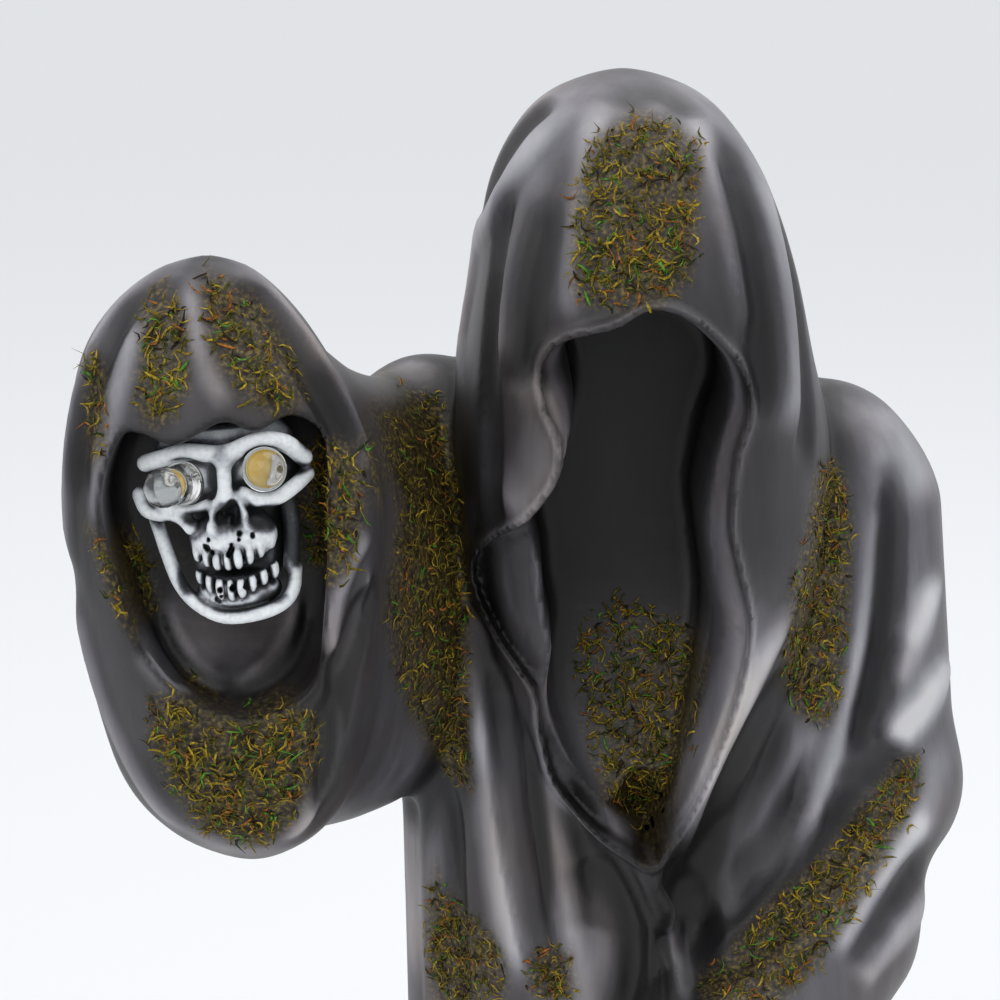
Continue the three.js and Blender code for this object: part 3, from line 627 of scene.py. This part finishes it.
def bowed_lines(rows, surface, spacing=5):
    """The bowed lines of rows of FOLDS, all laid on a surface together."""
    lines = []
    for x0, z0, x1, z1, bow, *_ in rows:
        long = math.hypot(x1 - x0, z1 - z0)
        side = (-(z1 - z0) / long, (x1 - x0) / long)
        middle = ((x0 + x1) / 2 + 2 * bow * side[0], (z0 + z1) / 2 + 2 * bow * side[1])
        t = np.linspace(0, 1, max(5, round(long / spacing) + 1))
        a, b, c = (1 - t) ** 2, 2 * t * (1 - t), t**2
        lines.append((a * x0 + b * middle[0] + c * x1, a * z0 + b * middle[1] + c * z1))
    x, z = (np.concatenate([line[k] for line in lines]) for k in (0, 1))
    ends = np.cumsum([len(line[0]) for line in lines])[:-1]
    return np.split(on_front(surface, x, z), ends)


def stroke(p, line, reach, fade=0.18):
    """How strongly each point is under a stroke along a line: indices, and a share from 0 to 1."""
    near = within(p, line, reach)
    away, along = near_line([c[near] for c in p], line)
    across = (1 - np.minimum(away / reach, 1) ** 2) ** 2
    return near, across * smoothstep(0, fade, np.minimum(along, 1 - along))


REACH = 1.35
folds = [(line, REACH * row[5], row[6]) for row, line in zip(FOLDS, bowed_lines(FOLDS, outside))]


def add_folds(p, d, lines):
    for line, reach, height in lines:
        near, share = stroke(p, line, reach)
        d[near] -= height * share
    return d


def cloth(p):
    return add_folds(p, outside(p), folds)


hem_loop = closed_curve([row[:2] for row in HOOD_HEM], 96)
inner_loop = closed_curve(
    [(x + (face if x < LAPEL_MIDDLE else -face), z - (face if z > 280 else 0)) for x, z, face in HOOD_HEM],
    96,
)
mouth_loop = closed_curve(MOUTH_HEM, 64)


def open_hood(p, d):
    x, y, z = p
    near = np.nonzero((y < 2) & (z > 190) & (z < 292) & (x > -38) & (x < 28))[0]
    x, y, z, was = x[near], y[near], z[near], d[near]
    to_hem = loop_distance(x, z, hem_loop)
    to_inner = loop_distance(x, z, inner_loop)
    hem = HEM_HEIGHT * (1 - np.clip((to_hem - HEM_WIDTH / 2) / HEM_WIDTH, -1, 1) ** 2) ** 2
    share = np.clip(-to_hem / (-to_hem + np.maximum(to_inner, 0) + 0.3), 0, 1)
    top, full, shallow = TURNED_OUT
    turned = smoothstep(-top, -full, -z) * smoothstep(0, 6, -x)
    depth = LAPEL_DEPTH + (shallow - LAPEL_DEPTH) * turned
    lapel = np.maximum(to_hem, -(was + LAPEL_STEP + depth * share))
    hollow = meet(np.maximum(to_inner, z - HOLLOW_TOP), y - hollow_back_at(z)[0], 2.5)
    d[near] = np.maximum(was - hem, -np.minimum(lapel, hollow))
    return d


def open_mouth(p, d):
    x, y, z = p
    near = np.nonzero((y < -40) & (z > 225) & (z < 285) & (x < -36))[0]
    x, y, z = x[near], y[near], z[near]
    hem = loop_distance(x, z, mouth_loop)
    hollow = meet(np.maximum(hem, z - MOUTH_TOP), y - mouth_back_at(z)[0], 3)
    d[near] = meet(d[near], -hollow, 1)
    return d


def hollowed(p):
    return open_mouth(p, open_hood(p, cloth(p)))


inner_lines = bowed_lines(INNER_FOLDS, hollowed, 2.5)
inner_folds = [(line, REACH * row[5], row[6]) for row, line in zip(INNER_FOLDS, inner_lines)]


def figure(p):
    return np.maximum(add_folds(p, hollowed(p), inner_folds), -p[2])


# Skull

def curve(points, count=8):
    """A smooth line through the points."""
    p = np.array(points, float)
    p = np.vstack([2 * p[0] - p[1], p, 2 * p[-1] - p[-2]])
    out = []
    for a, b, c, d in zip(p, p[1:], p[2:], p[3:]):
        for f in np.arange(count) / count:
            out.append(0.5 * (2 * b + (c - a) * f + (2 * a - 5 * b + 4 * c - d) * f**2
                              + (3 * b - a - 3 * c + d) * f**3))
    return np.array(out + [p[-2]])


ridges = [(radius, softness, curve(points, 4)) for radius, softness, points in BONE_RIDGES]
mouth_gap = curve(MOUTH_GAP, 4)
pits = np.stack([
    rng.uniform(-5.5, 4.5, PITS),
    rng.uniform(1.2, 2.2, PITS),
    np.where(np.arange(PITS) < PITS // 2, rng.uniform(-17.4, -14.6, PITS), rng.uniform(-11, -7.6, PITS)),
    rng.uniform(0.16, 0.34, PITS),
], 1)


def teeth(p):
    d = np.full(p[0].shape, FAR)
    for middle, tip, rise, way in TEETH:
        for i in range(TEETH_PER_ROW):
            across = ((i + 0.5) / TEETH_PER_ROW) * 2 - 1
            u = -0.4 + across * TEETH_HALF_WIDTH
            length = TOOTH[2] * (1 + 0.14 * math.sin(5.3 * i + 2 * tip))
            w = tip + rise * (u - middle) ** 2 + way * length * 0.85
            v = 2 - 3.4 * across**2 + 0.15 * math.sin(3.7 * i)
            d = np.minimum(d, ellipsoid(p, (u, v, w), (TOOTH[0], TOOTH[1], length)))
    return d


def skull(p):
    d = np.full(p[0].shape, FAR)
    for middle, radii, softness in BONE_MASSES:
        d = join(d, ellipsoid(p, middle, radii), softness)
    for radius, softness, line in ridges:
        d = join(d, near_line(p, line)[0] - radius, softness)
    d = join(d, teeth(p), 0.3)
    for middle, radii in BONE_HOLLOWS:
        d = meet(d, -ellipsoid(p, middle, radii), 0.35)
    for u, v, w, radius in pits:
        d = meet(d, -ellipsoid(p, (u, v, w), (radius, 0.9, radius * 1.4)), 0.15)
    gap = near_line([p[0], p[2]], mouth_gap)[0] - MOUTH_GAP_RADIUS
    d = meet(d, -np.maximum(gap, MOUTH_GAP_BACK - p[1]), 0.25)
    d = join(d, ellipsoid(p, *SEPTUM), 0.2)
    for at, _, _ in LEDS.values():
        socket = np.hypot(p[0] - at[0], p[2] - at[2]) - SOCKET_RADIUS
        d = meet(d, -np.maximum(socket, SOCKET_BACK - p[1]), 0.3)
    return np.maximum(np.maximum(d, p[2] - SKULL_TOP), SKULL_BACK - p[1])


skull_frame = np.array([
    (math.cos(SKULL_ROLL), 0, math.sin(SKULL_ROLL)),
    (0, -1, 0),
    (-math.sin(SKULL_ROLL), 0, math.cos(SKULL_ROLL)),
])


def from_skull(points):
    """Points of the skull's own frame as points of the figure."""
    return np.asarray(points) @ skull_frame + np.array(SKULL_AT)


# From fields to meshes

def sample(field, low, high, step):
    """The field on a grid of that step, worked out only near the surface, from coarse to fine."""
    low = np.array(low, float)
    shape = np.ceil((np.array(high) - low) / step).astype(int) + 1
    level = 4
    index = np.indices((shape + level - 1) // level + 1).reshape(3, -1)
    reach = 7.0 * max(step, 0.5) + 2
    steps = np.arange(-1, 2)
    around = np.stack(np.meshgrid(steps, steps, steps), -1).reshape(-1, 3).T
    while True:
        d = field([low[k] + index[k] * step * level for k in range(3)])
        if level == 1:
            break
        near = index[:, np.abs(d) < reach]
        level //= 2
        size = (shape + level - 1) // level + 1 if level > 1 else shape
        child = (near[:, :, None] * 2 + around[:, None, :]).reshape(3, -1)
        child = child[:, np.all((child >= 0) & (child < size[:, None]), axis=0)]
        index = np.array(np.unravel_index(np.unique(np.ravel_multi_index(child, size)), size))
        reach = step * level * 2.4
    values = np.full(shape, np.nan, np.float32)
    values[tuple(index)] = d
    return low, values


def surface_nets(low, step, values):
    """Corners and quads of the zero surface of a grid, one corner in each cell that it crosses."""
    inside = values < 0
    known = ~np.isnan(values)
    halves = [slice(None, -1), slice(1, None)]
    count = np.zeros([n - 1 for n in values.shape], np.int8)
    full = np.ones(count.shape, bool)
    for i in range(8):
        corner = tuple(halves[(i >> k) & 1] for k in range(3))
        count += inside[corner]
        full &= known[corner]
    active = full & (count > 0) & (count < 8)
    cells = np.array(np.nonzero(active))
    index = np.full(active.shape, -1, np.int32)
    index[active] = np.arange(cells.shape[1])
    total, hits = np.zeros((cells.shape[1], 3)), np.zeros(cells.shape[1])
    for axis in range(3):
        others = [k for k in range(3) if k != axis]
        for i in range(4):
            a = cells.copy()
            a[others[0]] += i & 1
            a[others[1]] += i >> 1
            b = a.copy()
            b[axis] += 1
            va, vb = values[tuple(a)], values[tuple(b)]
            cross = (va < 0) != (vb < 0)
            point = a.astype(float)
            point[axis] += np.where(cross, va / np.where(cross, va - vb, 1), 0)
            total[cross] += point.T[cross]
            hits[cross] += 1
    quads = []
    for axis in range(3):
        sides = [(axis + 1) % 3, (axis + 2) % 3]
        a, b = [slice(None)] * 3, [slice(None)] * 3
        a[axis], b[axis] = halves
        a, b = tuple(a), tuple(b)
        edge = np.array(np.nonzero((inside[a] != inside[b]) & known[a] & known[b]))
        for k in sides:
            edge = edge[:, (edge[k] > 0) & (edge[k] < values.shape[k] - 1)]
        corners = []
        for back in ((1, 1), (0, 1), (0, 0), (1, 0)):
            cell = edge.copy()
            cell[sides[0]] -= back[0]
            cell[sides[1]] -= back[1]
            corners.append(index[tuple(cell)])
        quad = np.array(corners).T
        outward = ~inside[a][tuple(edge)]
        quad[outward] = quad[outward][:, ::-1]
        quads.append(quad[(quad >= 0).all(1)])
    return low + step * total / hits[:, None], np.concatenate(quads)


def new_object(name, points, faces):
    """A smooth mesh object from points in millimetres."""
    mesh = bpy.data.meshes.new(name)
    mesh.from_pydata(np.asarray(points) * MM, [], faces)
    mesh.shade_smooth()
    piece = bpy.data.objects.new(name, mesh)
    bpy.context.scene.collection.objects.link(piece)
    return piece


def field_object(name, field, low, high, step, triangles):
    """The zero surface of a field as an object of at most so many triangles."""
    corner, values = sample(field, low, high, step)
    points, quads = surface_nets(corner, step, values)
    piece = new_object(name, points, quads.tolist())
    if len(quads) * 2 > triangles:
        lighter = piece.modifiers.new("lighter", "DECIMATE")
        lighter.ratio = triangles / (len(quads) * 2)
        graph = bpy.context.evaluated_depsgraph_get()
        piece.data = bpy.data.meshes.new_from_object(piece.evaluated_get(graph))
        piece.modifiers.clear()
        piece.data.shade_smooth()
    return piece


def corners_of(piece):
    """A mesh's points in millimetres and their normals, one row each."""
    count = len(piece.data.vertices)
    points, normals = np.empty(count * 3), np.empty(count * 3)
    piece.data.vertices.foreach_get("co", points)
    piece.data.vertex_normals.foreach_get("vector", normals)
    return points.reshape(-1, 3) / MM, normals.reshape(-1, 3)


def paint(piece, name, values):
    """Stores one number for each point of a mesh."""
    layer = piece.data.attributes.new(name, "FLOAT", "POINT")
    layer.data.foreach_set("value", np.asarray(values, np.float32))


def openness(field, points, normals, steps):
    """How open the space over each point is: about 0 on flat cloth, over it on ridges, under it in recesses."""
    total = np.zeros(len(points))
    for step in steps:
        away = points + normals * step
        total += field(list(away.T)) / step - 1
    return total / len(steps)


# Materials

def srgb(text):
    """A linear colour from six hexadecimal digits."""
    parts = [int(text[i:i + 2], 16) / 255 for i in (0, 2, 4)]
    return tuple(c / 12.92 if c <= 0.04045 else ((c + 0.055) / 1.055) ** 2.4 for c in parts)


class Material:
    """A new node material, with its shader and a way to add nodes that are linked as they are made."""

    def __init__(self, name, **sockets):
        self.data = bpy.data.materials.new(name)
        self.data.use_nodes = True
        self.tree = self.data.node_tree
        self.shader = self.tree.nodes["Principled BSDF"]
        self.where = self.add("ShaderNodeTexCoord").outputs["Object"]
        for key, value in sockets.items():
            self.set(key.replace("_", " "), value)

    def set(self, key, value):
        if isinstance(value, bpy.types.NodeSocket):
            self.tree.links.new(value, self.shader.inputs[key])
        else:
            self.shader.inputs[key].default_value = value

    def add(self, kind, links=None, **settings):
        node = self.tree.nodes.new(kind)
        for key, value in settings.items():
            setattr(node, key, value)
        for key, source in (links or {}).items():
            if isinstance(source, bpy.types.NodeSocket):
                self.tree.links.new(source, node.inputs[key])
            else:
                node.inputs[key].default_value = source
        return node

    def attribute(self, name, output="Fac"):
        return self.add("ShaderNodeAttribute", attribute_name=name).outputs[output]

    def noise(self, scale, detail=3, stretch=(1, 1, 1)):
        """Noise with that many lumps to a metre, from 0 to 1."""
        where = self.add("ShaderNodeMapping", {"Vector": self.where, "Scale": stretch}).outputs["Vector"]
        return self.add("ShaderNodeTexNoise", {"Vector": where, "Scale": scale, "Detail": detail}).outputs["Fac"]

    def plus(self, value, other, amount):
        """value + amount * (other - 0.5)"""
        part = self.add("ShaderNodeMath", {0: other, 1: amount, 2: -amount / 2}, operation="MULTIPLY_ADD")
        return self.add("ShaderNodeMath", {0: value, 1: part.outputs[0]}).outputs[0]

    def ramp(self, source, stops):
        node = self.add("ShaderNodeValToRGB", {"Fac": source})
        elements = node.color_ramp.elements
        while len(elements) < len(stops):
            elements.new(0.5)
        for element, (at, colour) in zip(elements, stops):
            element.position = at
            element.color = (*srgb(colour), 1)
        return node.outputs["Color"]

    def blend(self, share, first, second, mode="MIX"):
        node = self.add("ShaderNodeMix", data_type="RGBA", blend_type=mode)
        for socket, value in zip((node.inputs[0], node.inputs[6], node.inputs[7]), (share, first, second)):
            if isinstance(value, bpy.types.NodeSocket):
                self.tree.links.new(value, socket)
            else:
                socket.default_value = value
        return node.outputs[2]

    def grain(self, scale, strength, distance):
        height = self.noise(scale, 3)
        bump = self.add("ShaderNodeBump", {"Height": height, "Strength": strength, "Distance": distance})
        self.set("Normal", bump.outputs["Normal"])


def finish(piece, look, node=None):
    piece.data.materials.append(look.data)
    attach(piece, "root")
    if node:
        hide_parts(node)


# Casting

FIGURE_STEP = 0.7
FIGURE_TRIANGLES = 190000
# Grey of the casting: a base, and how strongly folds, the turned-out lapel and the hood's hollow change it; these
# changes are drybrush paint together with painted highlight and painted shade
BASE_TONE = 0.5
FOLD_DRYBRUSH_AND_SHADE = 0.17
LAPEL_PAINT_AND_HIGHLIGHT = 0.34
DEEP_PAINT_AND_SHADE = 0.3
STROKE_REACH = 1.5

reaper = field_object("reaper_figure_painted", figure, (-84, -70, -1.5), (58, 50, 320), FIGURE_STEP, FIGURE_TRIANGLES)
points, normals = corners_of(reaper)
columns = list(points.T)

# Grey of each point of the casting: its drybrushed paint together with painted shade and painted highlights
paint_and_shade = np.full(len(points), BASE_TONE)
# Raised folds lighter and sunken ones darker: drybrush paint, with painted shade in the creases
for line, reach, height in folds + inner_folds:
    near, share = stroke(columns, line, reach * 1.15)
    paint_and_shade[near] += np.clip(height, -2.4, 1.4) * FOLD_DRYBRUSH_AND_SHADE * share
# Painted highlights and painted shade along the SHADING rows, together with the airbrushed paint
for row, line in zip(SHADING, bowed_lines(SHADING, figure)):
    near, share = stroke(columns, line, STROKE_REACH * row[5], 0.3)
    paint_and_shade[near] += row[6] * share
# Darker in recesses and lighter on ridges: painted shade and painted highlight, over the paint's own dark hollows and
# light ridges
paint_and_shade += 0.55 * np.clip(openness(figure, points, normals, (1.2, 3)), -1, 0.25)
paint_and_shade += 0.4 * np.clip(openness(figure, points, normals, (8,)), -1, 0.2)
to_inner = loop_distance(points[:, 0], points[:, 2], inner_loop)
to_hem = loop_distance(points[:, 0], points[:, 2], hem_loop)
at_front = points[:, 1] < 0
# The turned-out lapel lighter: drybrush paint together with a painted highlight where it turns up to the light
turned = smoothstep(-TURNED_OUT[0], -TURNED_OUT[1], -points[:, 2]) * smoothstep(0, 6, -points[:, 0])
paint_and_shade += LAPEL_PAINT_AND_HIGHLIGHT * turned * at_front * smoothstep(0.2, -0.6, to_hem) * smoothstep(-0.3, 0.4, to_inner)
# Inside the hood's hollow, above the chest, far darker: its dark paint together with painted shade
below_chest = smoothstep(-241, -232, -points[:, 2])
deep_paint_and_shade = at_front * smoothstep(0.5, -0.3, to_inner)
paint_and_shade *= 1 - deep_paint_and_shade * (1 - DEEP_PAINT_AND_SHADE) * (1 - below_chest)
paint(reaper, "paint_and_shade", np.clip(paint_and_shade, 0, 1))

moss_loops = {name: closed_curve(outline, 4 * len(outline)) for name, outline in MOSS.items()}
# Under the moss patches on the front: specks of dust and glue, which also stand as painted shadow of the flakes
dust_and_moss_shadow = np.zeros(len(points))
for loop in moss_loops.values():
    away = loop_distance(points[:, 0], points[:, 2], loop, 4)
    dust_and_moss_shadow = np.maximum(dust_and_moss_shadow, smoothstep(1.5, -1.5, away) * (normals[:, 1] < 0.1) * at_front)
paint(reaper, "dust_and_moss_shadow", dust_and_moss_shadow)

# The casting's paint: the stored grey, which holds painted shade and highlights, put through a ramp of greys
cast_paint_and_shade = Material("cast_paint_and_shade", Roughness=0.42, Specular_IOR_Level=0.3)
mixed = cast_paint_and_shade.plus(cast_paint_and_shade.attribute("paint_and_shade"), cast_paint_and_shade.noise(260, 5, (1, 1, 0.14)), 0.2)
mixed = cast_paint_and_shade.plus(mixed, cast_paint_and_shade.noise(60), 0.16)
greys = cast_paint_and_shade.ramp(mixed, [
    (0, "161618"), (0.2, "262527"), (0.4, "454448"), (0.6, "706f75"), (0.8, "9a999f"), (1, "c6c5c8"),
])
warm = cast_paint_and_shade.ramp(cast_paint_and_shade.noise(34, 2), [(0.42, "ffffff"), (0.7, "f3e6d8")])
painted = cast_paint_and_shade.blend(1.0, greys, warm, "MULTIPLY")
# Dark brown to olive specks under the moss: dust and glue, and painted shadow of the flakes
specks = cast_paint_and_shade.ramp(cast_paint_and_shade.noise(1600, 4), [(0.4, "201a10"), (0.55, "4c4023"), (0.68, "7c6c30")])
dust_and_moss_shadow_share = cast_paint_and_shade.add("ShaderNodeMath", {0: cast_paint_and_shade.attribute("dust_and_moss_shadow"), 1: 0.8}, operation="MULTIPLY")
cast_paint_and_shade.set("Base Color", cast_paint_and_shade.blend(dust_and_moss_shadow_share.outputs[0], painted, specks))
cast_paint_and_shade.grain(1500, 0.08, 0.0003)
finish(reaper, cast_paint_and_shade, "reaper_figure")

# Skull

SKULL_STEP = 0.21
SKULL_TRIANGLES = 170000
bone = field_object("skull_painted", skull, (-14.5, -9.9, -20.8), (11.8, 4.8, 5.6), SKULL_STEP, SKULL_TRIANGLES)
points, normals = corners_of(bone)
# White drybrush on raised bone, grey to black in recesses: the skull's paint together with painted shade
bone_white_and_shade = np.full(len(points), 0.8)
bone_white_and_shade += 0.9 * np.clip(openness(skull, points, normals, (0.5, 1)), -0.9, 0.2)
bone_white_and_shade += 0.3 * np.clip(openness(skull, points, normals, (2.4,)), -1, 0.2)
# Painted shade on the sides that turn back into the sleeve's hollow
bone_white_and_shade -= 0.4 * smoothstep(3.5, 8, -points[:, 1])
# Greys and blacks of the recesses: paint and painted shade together
for middle, radii, share in BONE_SHADOWS:
    bone_white_and_shade *= 1 - share * smoothstep(0.6, -0.6, ellipsoid(list(points.T), middle, radii))
paint(bone, "bone_white_and_shade", np.clip(bone_white_and_shade, 0, 1))
bone.data.vertices.foreach_set("co", (from_skull(points) * MM).ravel())
bone.data.update()

# The skull's paint, with the painted shade of its stored white
bone_paint = Material("bone_paint", Roughness=0.55)
patchy = bone_paint.plus(bone_paint.attribute("bone_white_and_shade"), bone_paint.noise(1400, 4), 0.3)
patchy = bone_paint.plus(patchy, bone_paint.noise(420, 2), 0.16)
bone_paint.set("Base Color", bone_paint.ramp(patchy, [
    (0, "0c1110"), (0.25, "2c2e32"), (0.45, "6a6c73"), (0.62, "b9bec3"), (0.8, "e6eaec"), (1, "f8fafa"),
]))
bone_paint.grain(2600, 0.25, 0.0002)
finish(bone, bone_paint, "skull")


# Diodes

def turned_solid(name, outline, count=48):
    """A solid turned round its axis from rows of (radius, height), from the axis at its bottom to its top."""
    points = [(0, 0, outline[0][1])]
    faces = []
    rows = outline[1:-1]
    for radius, height in rows:
        for i in range(count):
            angle = 2 * math.pi * i / count
            points.append((radius * math.cos(angle), radius * math.sin(angle), height))
    points.append((0, 0, outline[-1][1]))
    last = len(points) - 1
    for i in range(count):
        after = (i + 1) % count
        faces.append((0, 1 + after, 1 + i))
        for row in range(len(rows) - 1):
            a, b = 1 + row * count, 1 + (row + 1) * count
            faces.append((a + i, a + after, b + after, b + i))
        faces.append((last, last - count + i, last - count + after))
    return np.array(points), faces


def stand(points, at, towards, shift=(0, 0)):
    """Points that stand up along Z moved to stand on a point of the skull and face a way."""
    turn = Vector((0, 0, 1)).rotation_difference(Vector(towards)).to_matrix()
    moved = points + np.array((*shift, 0))
    return moved @ np.array(turn).T + from_skull(at)


def dome_outline(radius, flange, flange_height, length, steps=16):
    rows = [(0, 0), (flange - 0.12, 0), (flange, 0.12), (flange, flange_height - 0.12)]
    rows += [(flange - 0.12, flange_height), (radius, flange_height)]
    for i in range(steps):
        angle = i / steps * math.pi / 2
        rows.append((radius * math.cos(angle), length - radius + radius * math.sin(angle)))
    return rows + [(0, length)]


lens = Material(
    "clear_lens", Roughness=0.02, IOR=1.5, Transmission_Weight=1.0, Base_Color=(0.96, 0.97, 0.95, 1)
)
metal = Material("diode_metal", Roughness=0.25, Metallic=1.0)
metal.set("Base Color", metal.ramp(metal.noise(900), [(0.3, "9b9a98"), (0.7, "d8d7d4")]))
phosphor = Material("diode_phosphor", Roughness=0.6)
phosphor.set("Base Color", phosphor.ramp(phosphor.noise(1200), [(0.35, "e0b54a"), (0.7, "f6e29a")]))

for side, (at, towards, shift) in LEDS.items():
    low, high = CUP_HEIGHTS
    outline = dome_outline(LED_RADIUS, LED_FLANGE, LED_FLANGE_HEIGHT, LED_LENGTH)
    shape, faces = turned_solid("lens", outline)
    finish(new_object(f"led_eye_{side}_lens", stand(shape, at, towards), faces), lens, f"led_eye_{side}")
    cup = [(0, low), (CUP_RADIUS * 0.55, low), (CUP_RADIUS, high), (CUP_RADIUS * 0.85, high), (0, low + 0.5)]
    shape, faces = turned_solid("cup", cup, 32)
    finish(new_object(f"led_{side}_cup", stand(shape, at, towards, shift), faces), metal)
    disc = [(0, low + 0.6), (CUP_RADIUS * 0.5, low + 0.65), (CUP_RADIUS * 0.78, high - 0.05), (0, high + 0.35)]
    shape, faces = turned_solid("disc", disc, 32)
    finish(new_object(f"led_{side}_phosphor", stand(shape, at, towards, shift), faces), phosphor)
    for n, (dx, top) in enumerate(((-0.1, low - 0.05), (1.5, high))):
        post = [(0, 0.3), (POST_RADIUS, 0.3), (POST_RADIUS, top), (0, top)]
        shape, faces = turned_solid("post", post, 16)
        apart = (shift[0] + dx if shift[0] < 0 else shift[0] - dx, shift[1])
        finish(new_object(f"led_{side}_post_{n}", stand(shape, at, towards, apart), faces), metal)


# Moss: thin bent flakes, glued flat or standing a little off the cloth

def inside_loop(x, z, loop):
    return loop_distance(x, z, loop, 30)


def tree_of(piece):
    mesh = piece.data
    corners = np.empty(len(mesh.vertices) * 3)
    mesh.vertices.foreach_get("co", corners)
    return BVHTree.FromPolygons((corners.reshape(-1, 3) / MM).tolist(), [tuple(f.vertices) for f in mesh.polygons])


def unit(v):
    return v / (np.linalg.norm(v, axis=1, keepdims=True) + 1e-9)


STATIONS = (-1, -0.35, 0.35, 1)
STATION_WIDTH = (0.35, 1, 0.85, 0.2)


def flakes(name, places, ups):
    """One mesh of flakes with a triangular section, and their colours."""
    count = len(places)
    tangent = unit(np.cross(ups, rng.normal(size=(count, 3))))
    tangent = unit(tangent + ups * rng.normal(0.12, 0.28, (count, 1)))
    across = unit(np.cross(ups, tangent))
    up = np.cross(tangent, across)
    length = rng.uniform(*FLAKE_LENGTH, count) ** 1.3 / 2.8**0.3 + 0.3
    width = rng.uniform(*FLAKE_WIDTH, count)
    bend, curl = rng.normal(0, 0.28, count), rng.normal(0.1, 0.22, count)
    lift = rng.uniform(0.05, 0.75, count) ** 1.4
    points = np.empty((count, 4, 3, 3))
    for i, (s, share) in enumerate(zip(STATIONS, STATION_WIDTH)):
        middle = places + ups * lift[:, None] + tangent * (s * length / 2)[:, None]
        middle = middle + across * (bend * s * s * length)[:, None] + up * (curl * s * s * length)[:, None]
        for k in range(3):
            angle = 2 * math.pi * k / 3 + 0.5
            off = across * (math.cos(angle) * width * share * 0.5)[:, None]
            points[:, i, k] = middle + off + up * (math.sin(angle) * width * share * 0.28)[:, None]
    one = [(0, 2, 1), (9, 10, 11)]
    for i in range(3):
        for k in range(3):
            a, b = 3 * i + k, 3 * i + (k + 1) % 3
            one.append((a, b, b + 3, a + 3))
    faces = [tuple(12 * n + c for c in face) for n in range(count) for face in one]
    piece = new_object(name, points.reshape(-1, 3), faces)
    shares = np.array([share for _, share in MOSS_COLOURS])
    pick = rng.choice(len(MOSS_COLOURS), count, p=shares / shares.sum())
    colours = np.array([srgb(colour) for colour, _ in MOSS_COLOURS])[pick] * rng.uniform(0.6, 1.35, (count, 1))
    colours = np.hstack([np.clip(colours, 0, 1), np.ones((count, 1))])
    layer = piece.data.color_attributes.new("flake", "FLOAT_COLOR", "POINT")
    layer.data.foreach_set("color", np.repeat(colours, 12, axis=0).ravel())
    return piece


moss = Material("moss", Roughness=0.85, Specular_IOR_Level=0.2)
shade = moss.ramp(moss.noise(2200, 3), [(0.3, "8c8c8c"), (0.7, "ffffff")])
moss.set("Base Color", moss.blend(1.0, moss.attribute("flake", "Color"), shade, "MULTIPLY"))

cloth_tree = tree_of(reaper)
RAY_START = -90
for name, loop in moss_loops.items():
    low, high = loop.min(0) - 2, loop.max(0) + 2
    tries = int(np.prod(high - low) * MOSS_DENSITY)
    x, z = rng.uniform(low[0], high[0], tries), rng.uniform(low[1], high[1], tries)
    keep = rng.uniform(0, 1, tries) < smoothstep(1.2, -2.2, inside_loop(x, z, loop))
    places, ups = [], []
    for px, pz in zip(x[keep], z[keep]):
        hit, normal, _, _ = cloth_tree.ray_cast(Vector((px, RAY_START, pz)), Vector((0, 1, 0)))
        if hit and normal.y < -0.12:
            places.append(hit)
            ups.append(normal)
    finish(flakes(f"moss_{name}", np.array(places), np.array(ups)), moss)

# Stage: a pale floor, soft light from above and the camera at the photograph's angle

ELEVATION = math.radians(14)
DISTANCE = 330
FRAME_WIDTH = 145
TARGET = (-21, -25, 256)
SENSOR = 36

bpy.context.scene.view_settings.view_transform = "Standard"

camera_data = bpy.data.cameras.new("camera")
camera = bpy.data.objects.new("camera", camera_data)
bpy.context.scene.collection.objects.link(camera)
back = Vector((0, -math.cos(ELEVATION), math.sin(ELEVATION)))
camera.location = (Vector(TARGET) + DISTANCE * back) * MM
camera.rotation_euler = (-back).to_track_quat("-Z", "Y").to_euler()
camera_data.sensor_width = SENSOR
camera_data.lens = SENSOR * DISTANCE / FRAME_WIDTH
camera_data.clip_start = 0.01
bpy.context.scene.camera = camera

FLOOR_HALF = 20
floor_mesh = bpy.data.meshes.new("floor")
ring = [(-FLOOR_HALF, -FLOOR_HALF, 0), (FLOOR_HALF, -FLOOR_HALF, 0), (FLOOR_HALF, FLOOR_HALF, 0), (-FLOOR_HALF, FLOOR_HALF, 0)]
floor_mesh.from_pydata(ring, [], [(0, 1, 2, 3)])
floor = bpy.data.objects.new("floor", floor_mesh)
bpy.context.scene.collection.objects.link(floor)
pale = Material("pale_floor", Roughness=0.9, Specular_IOR_Level=0.1, Base_Color=(0.86, 0.87, 0.88, 1))
floor.data.materials.append(pale.data)

world = bpy.data.worlds.new("studio")
world.use_nodes = True
world.node_tree.nodes["Background"].inputs["Color"].default_value = (0.97, 0.98, 1, 1)
world.node_tree.nodes["Background"].inputs["Strength"].default_value = 0.9
bpy.context.scene.world = world


def area_light(name, at, towards, size, watts):
    data = bpy.data.lights.new(name, "AREA")
    data.size = size
    data.energy = watts
    lamp = bpy.data.objects.new(name, data)
    lamp.location = at
    lamp.rotation_euler = (Vector(towards) - Vector(at)).to_track_quat("-Z", "Y").to_euler()
    bpy.context.scene.collection.objects.link(lamp)


area_light("key", (-0.5, -0.9, 1.1), (0, 0, 0.25), 0.8, 3)
area_light("top", (0.3, 0.2, 1.3), (0, 0, 0.2), 0.9, 4)

bpy.context.view_layer.update()
